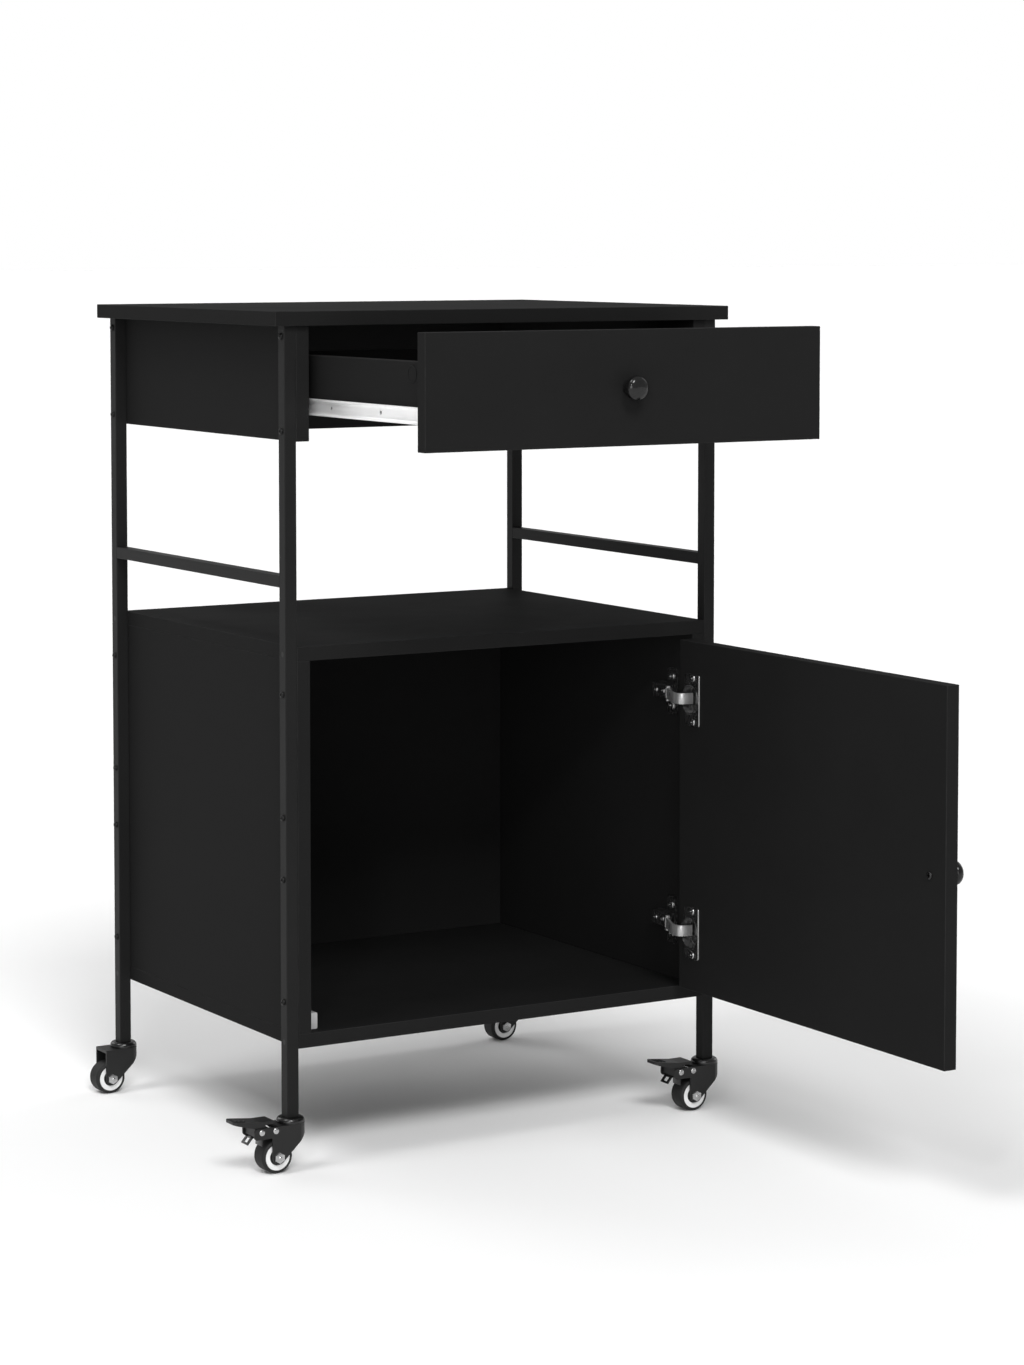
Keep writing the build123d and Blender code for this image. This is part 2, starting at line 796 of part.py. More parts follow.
def brake_pedal():
    """The pedal that turns on its pin between the cheeks, with ribs under the toe."""
    half = cheek_in - pedal_side_gap
    top = castor_height
    hub_front = -pedal_pin_back - pedal_hub_front
    hub_rear = -pedal_pin_back + pedal_hub_rear
    hub_low = pedal_pin_level - pedal_hub_drop
    under = top - pedal_thickness
    outline = make_face(
        Polyline(
            (-pedal_heel, top),
            (-pedal_pin_back, top),
            (-pedal_reach, top + pedal_rise),
            (-pedal_reach, top + pedal_rise - pedal_thickness),
            (hub_front, under - pedal_thickness),
            (hub_front, hub_low),
            (hub_rear, hub_low),
            (hub_rear, under),
            (-pedal_heel, under),
            close=True,
        )
    )
    pedal = side_shape(outline, (-half, half))
    tips = pedal.edges().filter_by(Axis.Z).group_by(Axis.X)[0]
    pedal = fillet(tips, pedal_tip_round)
    slope = pedal_rise / (pedal_reach - pedal_pin_back)
    rib_half = half - pedal_tip_round
    for index in range(pedal_rib_count):
        back = pedal_reach - pedal_tip_round - index * pedal_rib_pitch
        pedal += cross_bar(back, top + slope * (back - pedal_pin_back), rib_half, pedal_rib_radius)
    return pedal - cross_bar(pedal_pin_back, pedal_pin_level, half, pedal_pin_radius + pedal_pin_fit)


def brake_shoe():
    """The bent steel strip under the pedal: a lip to lift it by and a pad that meets the tyre."""
    level = pedal_pin_level - pedal_hub_drop - shoe_thickness / 2
    lip_root = -pedal_pin_back - pedal_hub_front
    pad_root = -pedal_pin_back + pedal_hub_rear - shoe_thickness
    path = [
        (lip_root - shoe_lip_reach, level - shoe_lip_drop),
        (lip_root, level),
        (pad_root, level),
        (pad_root, level - shoe_pad_drop),
    ]
    return side_shape(strip(path, shoe_thickness), (-shoe_half_width, shoe_half_width))


# The whole trolley

parts = {"tabletop": tabletop()}
for corner, side, end in corners():
    parts[f"post_{corner}"] = post(side, end)
for side_name, side in (("left", -1), ("right", 1)):
    parts[f"side_rail_{side_name}"] = side_rail(side)
    parts[f"upper_panel_{side_name}"] = upper_panel(side)
    parts[f"lower_panel_{side_name}"] = lower_panel(side)
    parts[f"slide_rail_{side_name}"] = slide_rail(side)
    parts[f"slide_runner_{side_name}"] = pulled(slide_runner(side))
    parts[f"drawer_side_{side_name}"] = pulled(drawer_side(side))
parts["upper_panel_rear"] = upper_panel_rear()
parts["shelf"] = level_board(shelf_under)
parts["bottom_board"] = level_board(bottom_board_level)
parts["cabinet_back"] = cabinet_back()
parts["panel_screws"] = group(
    panel_screw(side, end, level) for _, side, end in corners() for level in apron_screws + side_screws
)
parts["shelf_screws"] = group(
    shelf_screw(side, end, level) for _, side, end in corners() for level in shelf_screws
)

parts["drawer_front"] = pulled(drawer_front())
parts["drawer_back"] = pulled(drawer_back())
parts["drawer_bottom"] = pulled(drawer_bottom())
parts["drawer_knob"] = pulled(knob(*drawer_knob_place))
parts["drawer_knob_screw"] = pulled(knob_screw(*drawer_knob_place))
parts["slide_ball_cages"] = group(pulled(slide_ball_cage(side), 0.5) for side in (-1, 1))

parts["door_panel"] = opened(door_panel())
parts["door_knob"] = opened(knob(*door_knob_place))
parts["door_knob_screw"] = opened(knob_screw(*door_knob_place))
parts["hinge_cups"] = group(opened(hinge_cup(level)) for level in hinge_levels)
parts["hinge_cup_screws"] = group(opened(hinge_cup_screw(*place)) for place in flange_screw_places())
parts["hinge_links"] = group(opened(hinge_link(level)) for level in hinge_levels)
parts["hinge_arms"] = group(hinge_arm(level) for level in hinge_levels)
parts["hinge_plates"] = group(hinge_plate(level) for level in hinge_levels)
parts["hinge_plate_screws"] = group(hinge_plate_screw(*place) for place in plate_screw_places())
parts["door_stop"] = door_stop()

stems = []
for corner, side, end in corners():
    place = Pos(side * post_x, end * post_y, 0)
    braked = end < 0
    stems.append(place * castor_stem())
    parts[f"castor_fork_{corner}"] = place * castor_fork(braked)
    parts[f"castor_pins_{corner}"] = place * castor_pins(braked)
    parts[f"castor_hub_{corner}"] = place * castor_hub()
    parts[f"castor_tyre_{corner}"] = place * castor_tyre()
    if braked:
        parts[f"brake_pedal_{corner}"] = place * brake_pedal()
        parts[f"brake_shoe_{corner}"] = place * brake_shoe()
parts["castor_stems"] = group(stems)

os.makedirs("parts", exist_ok=True)
for name, piece in parts.items():
    piece.label = name
    export_step(piece, f"parts/{name}.step")
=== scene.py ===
"""The looks of a black kitchen trolley, dressed round its fixed frame.

The boards, tubes and fittings of the frame get their finishes here, and small fittings with more
detail than the frame holds are modelled in their place. All lengths are in metres.
"""

import logging
import math
from dataclasses import dataclass, field
from enum import Enum
from typing import Callable, Iterable, Sequence

import bpy
from mathutils import Euler, Matrix, Vector


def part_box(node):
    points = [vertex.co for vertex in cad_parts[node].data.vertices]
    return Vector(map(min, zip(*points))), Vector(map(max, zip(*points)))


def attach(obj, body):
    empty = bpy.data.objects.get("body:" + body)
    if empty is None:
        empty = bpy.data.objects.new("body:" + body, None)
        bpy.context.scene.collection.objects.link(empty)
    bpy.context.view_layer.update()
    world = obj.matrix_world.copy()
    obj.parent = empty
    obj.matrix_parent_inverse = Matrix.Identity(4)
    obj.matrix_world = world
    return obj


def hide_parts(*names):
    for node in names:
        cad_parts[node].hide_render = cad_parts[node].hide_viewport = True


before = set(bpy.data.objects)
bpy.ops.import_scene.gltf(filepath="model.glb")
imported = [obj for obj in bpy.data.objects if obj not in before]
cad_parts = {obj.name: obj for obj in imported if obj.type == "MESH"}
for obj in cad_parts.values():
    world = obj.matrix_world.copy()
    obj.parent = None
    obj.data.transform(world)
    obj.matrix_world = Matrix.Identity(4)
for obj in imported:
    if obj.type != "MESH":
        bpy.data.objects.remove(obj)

LOG = logging.getLogger("trolley")
MM = 0.001
QUARTER_TURN = math.pi / 2

Pair = tuple[float, float]
Triple = tuple[float, float, float]
Colour = tuple[float, float, float, float]
Test = Callable[[Vector, Vector], bool]


class Facing(Enum):
    """The way a small fitting looks out of the surface that it sits on."""

    LEFT = (-1.0, 0.0, 0.0)
    RIGHT = (1.0, 0.0, 0.0)
    FRONT = (0.0, -1.0, 0.0)
    REAR = (0.0, 1.0, 0.0)

    @property
    def opposite(self) -> "Facing":
        """The facing that looks the other way."""
        return Facing(tuple(-part for part in self.value))

    def at(self, place: Sequence[float]) -> Matrix:
        """Brings a fitting drawn along +Z at the origin to a place.

        Args:
            place: where the fitting's seat goes.

        Returns:
            The matrix that takes it there, turned to this facing.
        """
        turn = Vector(self.value).to_track_quat("Z", "Y").to_matrix().to_4x4()
        return Matrix.Translation(Vector(place)) @ turn

    def ends(self, node: str) -> tuple[Vector, Vector]:
        """Finds where a node of the frame starts and ends along this facing.

        Args:
            node: the node's name.

        Returns:
            The middle of its foot and the middle of its tip.
        """
        low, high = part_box(node)
        way = Vector(self.value)
        reach = way * abs(way.dot(high - low)) / 2
        middle = (low + high) / 2
        return middle - reach, middle + reach


class Corner(Enum):
    """The four corners of the trolley, as the frame names them."""

    FRONT_LEFT = "front_left"
    FRONT_RIGHT = "front_right"
    REAR_LEFT = "rear_left"
    REAR_RIGHT = "rear_right"

    @property
    def braked(self) -> bool:
        """Whether the castor at this corner has a brake pedal."""
        return self in (Corner.FRONT_LEFT, Corner.FRONT_RIGHT)

    @property
    def axle(self) -> Vector:
        """The middle of the wheel at this corner."""
        low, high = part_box(f"castor_tyre_{self.value}")
        return (low + high) / 2


class Level(Enum):
    """The two hinges of the door, by the height of their middle."""

    LOWER = 207.0 * MM
    UPPER = 461.0 * MM


class Side(Enum):
    """The two slides of the drawer, as the frame names them."""

    LEFT = "left"
    RIGHT = "right"


class Pick(Enum):
    """What is picked out of a mesh in edit mode."""

    FACES = "FACE"
    EDGES = "EDGE"


class Trim(Enum):
    """What becomes of a second piece: it is joined to the first or cut out of it."""

    JOIN = "UNION"
    CUT = "DIFFERENCE"


class Graph:
    """A small helper that places nodes in one node tree and links them."""

    def __init__(self, tree: bpy.types.NodeTree) -> None:
        """Works on one tree."""
        self.tree = tree

    def add(self, kind: str, **settings: object) -> bpy.types.Node:
        """Places one node.

        Args:
            kind: the node's type, such as ShaderNodeTexNoise.
            **settings: attributes of the node, and values of its inputs under their own names
                with spaces written as underscores.

        Returns:
            The new node.
        """
        node = self.tree.nodes.new(kind)
        for name, value in settings.items():
            if hasattr(node, name):
                setattr(node, name, value)
            else:
                node.inputs[name.replace("_", " ")].default_value = value
        return node

    def link(self, source: bpy.types.NodeSocket, target: bpy.types.NodeSocket) -> None:
        """Links one output to one input."""
        self.tree.links.new(source, target)

    def feed(self, value: object, target: bpy.types.NodeSocket) -> None:
        """Gives an input its value.

        Args:
            value: a socket to link, or a number or colour to set.
            target: the input.
        """
        if isinstance(value, bpy.types.NodeSocket):
            self.link(value, target)
        else:
            target.default_value = value

    def math(self, operation: str, first: object, second: object = 0.0) -> bpy.types.NodeSocket:
        """Places a Math node whose result stays between 0 and 1.

        Args:
            operation: the name of the sum, such as MULTIPLY.
            first: a socket or a number.
            second: a socket or a number.

        Returns:
            The socket with the result.
        """
        node = self.add("ShaderNodeMath", operation=operation, use_clamp=True)
        self.feed(first, node.inputs[0])
        self.feed(second, node.inputs[1])
        return node.outputs[0]

    def remap(
        self, value: bpy.types.NodeSocket, low: float, high: float, start: float = 0.0, end: float = 1.0
    ) -> bpy.types.NodeSocket:
        """Maps a value from one range to another, and keeps it there.

        Args:
            value: the socket to map.
            low: what becomes start.
            high: what becomes end.
            start: the result at low.
            end: the result at high.

        Returns:
            The socket with the mapped value.
        """
        node = self.add("ShaderNodeMapRange", From_Min=low, From_Max=high, To_Min=start, To_Max=end)
        self.link(value, node.inputs["Value"])
        return node.outputs["Result"]

    def tint(self, factor: bpy.types.NodeSocket, first: object, second: object) -> bpy.types.NodeSocket:
        """Mixes two colours.

        Args:
            factor: how much of the second colour there is.
            first: a colour or a socket.
            second: a colour or a socket.

        Returns:
            The socket with the mixed colour.
        """
        node = self.add("ShaderNodeMix", data_type="RGBA")
        self.link(factor, node.inputs["Factor"])
        for name, value in (("A", first), ("B", second)):
            self.feed(value, next(s for s in node.inputs if s.name == name and s.type == "RGBA"))
        return next(s for s in node.outputs if s.type == "RGBA")


class Effects:
    """Surface effects that several finishes share, each one a node group."""

    def __init__(self) -> None:
        """Builds each group once."""
        self.grain = self._grain()
        # mask of the painted highlight: where the finishes lighten the rounded edges
        self.edges = self._painted_edge_highlight()
        self.dust = self._dust()
        self.strokes = self._strokes()

    @staticmethod
    def _shell(
        name: str, inputs: Sequence[tuple[str, float]], outputs: Sequence[str]
    ) -> tuple[bpy.types.NodeTree, Graph, bpy.types.Node, bpy.types.Node]:
        """Starts a group with number sockets.

        Args:
            name: the group's name.
            inputs: each input's name and usual value.
            outputs: the names of the outputs.

        Returns:
            The group, its graph, and its input and output nodes.
        """
        group = bpy.data.node_groups.new(name, "ShaderNodeTree")
        for title, value in inputs:
            socket = group.interface.new_socket(title, in_out="INPUT", socket_type="NodeSocketFloat")
            socket.default_value = value
        for title in outputs:
            group.interface.new_socket(title, in_out="OUTPUT", socket_type="NodeSocketFloat")
        graph = Graph(group)
        return group, graph, graph.add("NodeGroupInput"), graph.add("NodeGroupOutput")

    def _grain(self) -> bpy.types.NodeTree:
        """Fine pimples over a slow unevenness, as moulded, coated and foiled surfaces have.

        Returns:
            The group.
        """
        outputs = ["Height", "Unevenness"]
        group, graph, given, result = self._shell("surface_grain", [("Scale", 900.0)], outputs)
        place = graph.add("ShaderNodeTexCoord").outputs["Object"]
        fine = graph.add("ShaderNodeTexNoise", Detail=3.0, Roughness=0.55)
        slow = graph.add("ShaderNodeTexNoise", Scale=7.0, Detail=4.0, Roughness=0.6)
        cells = graph.add("ShaderNodeTexVoronoi")
        for node in (fine, slow, cells):
            graph.link(place, node.inputs["Vector"])
        graph.link(given.outputs["Scale"], fine.inputs["Scale"])
        graph.link(given.outputs["Scale"], cells.inputs["Scale"])
        pimples = graph.math("MULTIPLY", graph.math("SUBTRACT", 1.0, cells.outputs["Distance"]), 0.5)
        height = graph.math("ADD", graph.math("MULTIPLY", fine.outputs["Fac"], 0.5), pimples)
        graph.link(height, result.inputs["Height"])
        graph.link(graph.remap(slow.outputs["Fac"], low=0.3, high=0.7), result.inputs["Unevenness"])
        return group

    def _painted_edge_highlight(self) -> bpy.types.NodeTree:
        """Finds the rounded edges of square pieces, where the surface looks along no axis and the
        finishes paint a lighter highlight.

        Returns:
            The group.
        """
        group, graph, given, result = self._shell("painted_edge_highlight", [("Breakup", 60.0)], ["Mask"])
        coordinates = graph.add("ShaderNodeTexCoord")
        parts = graph.add("ShaderNodeSeparateXYZ")
        graph.link(coordinates.outputs["Normal"], parts.inputs[0])
        sides = [graph.math("ABSOLUTE", socket) for socket in parts.outputs]
        largest = graph.math("MAXIMUM", graph.math("MAXIMUM", sides[0], sides[1]), sides[2])
        edge = graph.remap(largest, low=0.99, high=0.85)
        noise = graph.add("ShaderNodeTexNoise", Detail=5.0)
        graph.link(coordinates.outputs["Object"], noise.inputs["Vector"])
        graph.link(given.outputs["Breakup"], noise.inputs["Scale"])
        uneven = graph.remap(noise.outputs["Fac"], low=0.35, high=0.7, start=0.35)
        graph.link(graph.math("MULTIPLY", edge, uneven), result.inputs["Mask"])
        return group

    def _dust(self) -> bpy.types.NodeTree:
        """Light dust that settles on what faces up.

        Returns:
            The group.
        """
        group, graph, given, result = self._shell("settled_dust", [("Amount", 0.2)], ["Mask"])
        coordinates = graph.add("ShaderNodeTexCoord")
        parts = graph.add("ShaderNodeSeparateXYZ")
        graph.link(coordinates.outputs["Normal"], parts.inputs[0])
        upward = graph.remap(parts.outputs["Z"], low=0.5, high=0.98)
        cloud = graph.add("ShaderNodeTexNoise", Scale=23.0, Detail=6.0, Roughness=0.65)
        specks = graph.add("ShaderNodeTexNoise", Scale=650.0, Detail=2.0)
        for node in (cloud, specks):
            graph.link(coordinates.outputs["Object"], node.inputs["Vector"])
        clouded = graph.remap(cloud.outputs["Fac"], low=0.4, high=0.75, start=0.15)
        specked = graph.remap(specks.outputs["Fac"], low=0.45, high=0.7, start=0.4)
        spread = graph.math("MULTIPLY", graph.math("MULTIPLY", clouded, specked), upward)
        graph.link(graph.math("MULTIPLY", spread, given.outputs["Amount"]), result.inputs["Mask"])
        return group

    def _strokes(self) -> bpy.types.NodeTree:
        """Fine drawn lines, as rolled and plated steel has.

        Returns:
            The group.
        """
        inputs = [("Along X", 40.0), ("Along Y", 1400.0), ("Along Z", 1400.0)]
        group, graph, given, result = self._shell("drawn_lines", inputs, ["Lines", "Clouds"])
        place = graph.add("ShaderNodeTexCoord").outputs["Object"]
        stretch = graph.add("ShaderNodeCombineXYZ")
        for index, (title, _) in enumerate(inputs):
            graph.link(given.outputs[title], stretch.inputs[index])
        scaled = graph.add("ShaderNodeVectorMath", operation="MULTIPLY")
        graph.link(place, scaled.inputs[0])
        graph.link(stretch.outputs[0], scaled.inputs[1])
        lines = graph.add("ShaderNodeTexNoise", Scale=1.0, Detail=4.0, Roughness=0.6)
        graph.link(scaled.outputs[0], lines.inputs["Vector"])
        clouds = graph.add("ShaderNodeTexNoise", Scale=45.0, Detail=4.0)
        graph.link(place, clouds.inputs["Vector"])
        graph.link(graph.remap(lines.outputs["Fac"], low=0.3, high=0.7), result.inputs["Lines"])
        graph.link(graph.remap(clouds.outputs["Fac"], low=0.35, high=0.65), result.inputs["Clouds"])
        return group


def grey(level: float) -> Colour:
    """A neutral colour of one level."""
    return level, level, level, 1.0


def blank_material(name: str) -> tuple[bpy.types.Material, Graph, bpy.types.Node]:
    """Starts a material.

    Args:
        name: the material's name.

    Returns:
        The material, its graph and its shader node.
    """
    made = bpy.data.materials.new(name)
    made.use_nodes = True
    return made, Graph(made.node_tree), made.node_tree.nodes["Principled BSDF"]


@dataclass(frozen=True)
class Coating:
    """A coated, foiled or moulded surface.

    Attributes:
        name: the material's name.
        tones: its colour level, the level where it is most uneven, and the lighter level painted on
            eased edges as a highlight.
        rough: roughness where the surface is smoothest, and where it is dullest.
        grain: pimples per metre, and their height in metres.
        specular: the strength of the plain reflection.
        dust: how much dust lies on what faces up.
        coat: the share of a clear gloss coat.
    """

    name: str
    tones: Triple
    rough: Pair
    grain: Pair
    specular: float
    dust: float = 0.0
    coat: float = 0.0

    DUST_TONE = 0.12
    DUST_ROUGH = 0.85
    COAT_ROUGH = 0.05

    def material(self, effects: Effects) -> bpy.types.Material:
        """Builds the finish.

        Args:
            effects: the shared effects.

        Returns:
            The material.
        """
        made, graph, shader = blank_material(self.name)
        shader.inputs["Specular IOR Level"].default_value = self.specular
        shader.inputs["Coat Weight"].default_value = self.coat
        shader.inputs["Coat Roughness"].default_value = self.COAT_ROUGH
        scale, height = self.grain
        grain = graph.add("ShaderNodeGroup", node_tree=effects.grain, Scale=scale)
        edges = graph.add("ShaderNodeGroup", node_tree=effects.edges)
        dust = graph.add("ShaderNodeGroup", node_tree=effects.dust, Amount=self.dust)
        plain, uneven, edge = [grey(tone) for tone in self.tones]
        colour = graph.tint(grain.outputs["Unevenness"], plain, uneven)
        # painted highlight: eased edges get a lighter tone that stands in for light caught on them
        colour = graph.tint(edges.outputs["Mask"], colour, edge)
        colour = graph.tint(dust.outputs["Mask"], colour, grey(self.DUST_TONE))
        graph.link(colour, shader.inputs["Base Color"])
        rough = graph.remap(grain.outputs["Unevenness"], 0.0, 1.0, *self.rough)
        dulled = graph.math("MULTIPLY", dust.outputs["Mask"], self.DUST_ROUGH - self.rough[0])
        graph.link(graph.math("ADD", rough, dulled), shader.inputs["Roughness"])
        bump = graph.add("ShaderNodeBump", Distance=height)
        graph.link(grain.outputs["Height"], bump.inputs["Height"])
        graph.link(bump.outputs["Normal"], shader.inputs["Normal"])
        return made


@dataclass(frozen=True)
class Plating:
    """Bright plated steel with fine drawn lines.

    Attributes:
        name: the material's name.
        tones: the metal's colour level, and its level where the plating is duller.
        metal: how much it reflects as bare metal, against the milky look of the plating.
        rough: roughness where it is brightest, and where it is dullest.
        lines: how often the lines change along X, Y and Z, per metre.
        line_height: how deep the lines are, in metres.
    """

    name: str
    tones: Pair
    metal: float
    rough: Pair
    lines: Triple
    line_height: float

    LINE_SHARE = 0.6

    def material(self, effects: Effects) -> bpy.types.Material:
        """Builds the finish.

        Args:
            effects: the shared effects.

        Returns:
            The material.
        """
        made, graph, shader = blank_material(self.name)
        shader.inputs["Metallic"].default_value = self.metal
        strokes = graph.add("ShaderNodeGroup", node_tree=effects.strokes)
        for title, count in zip(("Along X", "Along Y", "Along Z"), self.lines):
            strokes.inputs[title].default_value = count
        bright, dull = [grey(tone) for tone in self.tones]
        graph.link(graph.tint(strokes.outputs["Clouds"], bright, dull), shader.inputs["Base Color"])
        lined = graph.math("MULTIPLY", strokes.outputs["Lines"], self.LINE_SHARE)
        clouded = graph.math("MULTIPLY", strokes.outputs["Clouds"], 1.0 - self.LINE_SHARE)
        rough = graph.remap(graph.math("ADD", lined, clouded), 0.0, 1.0, *self.rough)
        graph.link(rough, shader.inputs["Roughness"])
        bump = graph.add("ShaderNodeBump", Distance=self.line_height)
        graph.link(strokes.outputs["Lines"], bump.inputs["Height"])
        graph.link(bump.outputs["Normal"], shader.inputs["Normal"])
        return made


Finish = Coating | Plating


class Finishes:
    """Every finish on the trolley, made once."""

    FOIL = Coating(
        "matte_black_foil", tones=(0.0122, 0.0136, 0.026), rough=(0.58, 0.66), grain=(2600.0, 15e-6),
        specular=0.02, dust=0.03,
    )
    POWDER = Coating(
        "black_powder_coat", tones=(0.0125, 0.0145, 0.019), rough=(0.34, 0.42), grain=(1500.0, 30e-6),
        specular=0.05, dust=0.05,
    )
    MOULDED = Coating(
        "black_moulded_plastic", tones=(0.006, 0.009, 0.016), rough=(0.38, 0.48), grain=(2400.0, 40e-6),
        specular=0.36, dust=0.04,
    )
    DARK_STEEL = Coating(
        "blackened_steel", tones=(0.0035, 0.005, 0.008), rough=(0.2, 0.28), grain=(3000.0, 10e-6),
        specular=0.5, dust=0.03,
    )
    SCREW = Coating(
        "dark_frame_screw", tones=(0.003, 0.004, 0.006), rough=(0.34, 0.42), grain=(3000.0, 10e-6),
        specular=0.2,
    )
    KNOB = Coating(
        "black_knob_lacquer", tones=(0.005, 0.006, 0.006), rough=(0.42, 0.48), grain=(900.0, 6e-6),
        specular=0.06, coat=0.6,
    )
    RUBBER = Coating(
        "black_tyre_rubber", tones=(0.007, 0.011, 0.011), rough=(0.55, 0.7), grain=(1800.0, 50e-6),
        specular=0.3, dust=0.06,
    )
    SHIELD = Coating(
        "dark_bearing_shield", tones=(0.008, 0.012, 0.02), rough=(0.35, 0.45), grain=(2200.0, 20e-6),
        specular=0.4,
    )
    HUB = Coating(
        "pale_hub_plastic", tones=(0.80, 0.76, 0.82), rough=(0.28, 0.36), grain=(2200.0, 10e-6),
        specular=0.5,
    )
    STOP = Coating(
        "grey_stop_plastic", tones=(0.46, 0.41, 0.5), rough=(0.42, 0.5), grain=(2000.0, 20e-6),
        specular=0.45, dust=0.05,
    )
    ZINC = Plating(
        "bright_zinc", tones=(0.94, 0.90), metal=0.55, rough=(0.28, 0.38),
        lines=(1600.0, 50.0, 1600.0), line_height=4e-6,
    )
    NICKEL = Plating(
        "satin_nickel", tones=(0.46, 0.40), metal=0.96, rough=(0.18, 0.28),
        lines=(1500.0, 1500.0, 60.0), line_height=4e-6,
    )
    LINK = Plating(
        "pale_nickel", tones=(0.44, 0.38), metal=0.62, rough=(0.24, 0.34),
        lines=(1500.0, 1500.0, 60.0), line_height=4e-6,
    )
    # painted shade: a darker copy of the satin nickel, so the hinge cups, arms and plates look dim
    SHADED_NICKEL = Plating(
        "shaded_cup_nickel", tones=(0.30, 0.26), metal=0.95, rough=(0.2, 0.3),
        lines=(1500.0, 1500.0, 60.0), line_height=4e-6,
    )
    BOLT = Plating(
        "castor_bolt_zinc", tones=(0.5, 0.42), metal=0.97, rough=(0.18, 0.28),
        lines=(900.0, 900.0, 900.0), line_height=3e-6,
    )

    def __init__(self) -> None:
        """Builds the shared effects and prepares a place for the materials."""
        self.effects = Effects()
        self.made: dict[str, bpy.types.Material] = {}

    def get(self, finish: Finish) -> bpy.types.Material:
        """Gives a finish's material, and makes it the first time.

        Args:
            finish: the finish that is wanted.

        Returns:
            Its material.
        """
        if finish.name not in self.made:
            self.made[finish.name] = finish.material(self.effects)
        return self.made[finish.name]

    def dress(self, finish: Finish, *nodes: str) -> None:
        """Gives nodes of the frame a finish.

        Args:
            finish: the finish.
            *nodes: the names of the nodes.
        """
        for name in nodes:
            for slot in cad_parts[name].material_slots:
                slot.material = self.get(finish)
            LOG.info("dressed %s in %s", name, finish.name)


class Bench:
    """Hand tools for modelling a small piece with Blender's operators.

    Attributes:
        SMOOTH_ANGLE: the sharpest edge that is shaded smooth.
        NEAR: how close a point is to a plane that it lies on.
        AT_POINT: how close an edge is to the point of a path that it stands on.
        FLAT: how much of its normal a face that looks up or down has along Z.
        PAST: how far a cutter reaches past what it cuts.
        FOLD_FACETS: facets of a rounded fold.
        EASE_FACETS: facets of a broken edge.
        DOME_RINGS: rings of a domed head.
        DOME_SIDES: sides of a domed head.
        DOME_WALL: the share of a domed head's height that is upright.
    """

    SMOOTH_ANGLE = math.radians(35.0)
    NEAR = 0.01 * MM
    AT_POINT = 0.1 * MM
    FLAT = 0.99
    PAST = 1.0 * MM
    FOLD_FACETS = 6
    EASE_FACETS = 2
    DOME_RINGS = 7
    DOME_SIDES = 32
    DOME_WALL = 0.15

    @staticmethod
    def take(*pieces: bpy.types.Object) -> None:
        """Selects these pieces alone, so that an operator acts on nothing else.

        Args:
            *pieces: the pieces, the first of which becomes the active one.
        """
        bpy.ops.object.select_all(action="DESELECT")
        for piece in pieces:
            piece.select_set(True)
        if pieces:
            bpy.context.view_layer.objects.active = pieces[0]

    @staticmethod
    def discard(*pieces: bpy.types.Object) -> None:
        """Deletes pieces that are used up."""
        for piece in pieces:
            bpy.data.objects.remove(piece)

    @staticmethod
    def named(name: str) -> bpy.types.Object:
        """Names the active piece, and puts its place into its mesh.

        Args:
            name: the piece's name.

        Returns:
            The piece.
        """
        piece = bpy.context.active_object
        piece.name = name
        piece.data.name = name
        bpy.ops.object.transform_apply(location=True, rotation=True, scale=True)
        return piece

    @classmethod
    def cylinder(
        cls, name: str, radius: float, low: float, high: float, sides: int = 40
    ) -> bpy.types.Object:
        """Starts a piece as a cylinder along Z.

        Args:
            name: the piece's name.
            radius: its radius.
            low: where it starts on Z.
            high: where it ends on Z.
            sides: how many sides it has.

        Returns:
            The new piece.
        """
        cls.take()
        middle = (0.0, 0.0, (low + high) / 2)
        bpy.ops.mesh.primitive_cylinder_add(
            vertices=sides, radius=radius, depth=high - low, location=middle
        )
        return cls.named(name)

    @classmethod
    def cube(cls, name: str, size: Sequence[float], middle: Sequence[float]) -> bpy.types.Object:
        """Starts a piece as a box.

        Args:
            name: the piece's name.
            size: its length on each axis.
            middle: its middle.

        Returns:
            The new piece.
        """
        cls.take()
        bpy.ops.mesh.primitive_cube_add(size=1.0, location=middle)
        bpy.context.active_object.scale = size
        return cls.named(name)

    @classmethod
    def _open(cls, piece: bpy.types.Object, pick: Pick) -> None:
        """Clears a piece's selection and sets what is selected next.

        Args:
            piece: the piece.
            pick: what is selected next.
        """
        cls.take(piece)
        bpy.ops.object.mode_set(mode="EDIT")
        bpy.ops.mesh.select_mode(type=pick.value)
        bpy.ops.mesh.select_all(action="DESELECT")
        bpy.ops.object.mode_set(mode="OBJECT")

    @classmethod
    def pick_faces(cls, piece: bpy.types.Object, test: Test) -> None:
        """Opens a piece in edit mode with some faces selected.

        Args:
            piece: the piece.
            test: says of a face's middle and normal whether it is wanted.
        """
        cls._open(piece, Pick.FACES)
        for face in piece.data.polygons:
            face.select = test(face.center, face.normal)
        bpy.ops.object.mode_set(mode="EDIT")

    @classmethod
    def pick_edges(cls, piece: bpy.types.Object, test: Test) -> None:
        """Opens a piece in edit mode with some edges selected.

        Args:
            piece: the piece.
            test: says of an edge's two ends whether it is wanted.
        """
        cls._open(piece, Pick.EDGES)
        for edge in piece.data.edges:
            first, second = [piece.data.vertices[index].co for index in edge.vertices]
            edge.select = test(first, second)
        bpy.ops.object.mode_set(mode="EDIT")

    @classmethod
    def up(cls, _: Vector, normal: Vector) -> bool:
        """A test for the faces that look up."""
        return normal.z > cls.FLAT

    @classmethod
    def down(cls, _: Vector, normal: Vector) -> bool:
        """A test for the faces that look down."""
        return normal.z < -cls.FLAT

    @classmethod
    def upright_at(cls, point: Vector) -> Test:
        """A test for the upright edge of a strip at a point of its path."""
        return lambda a, b: all((end - point).xy.length < cls.AT_POINT for end in (a, b))

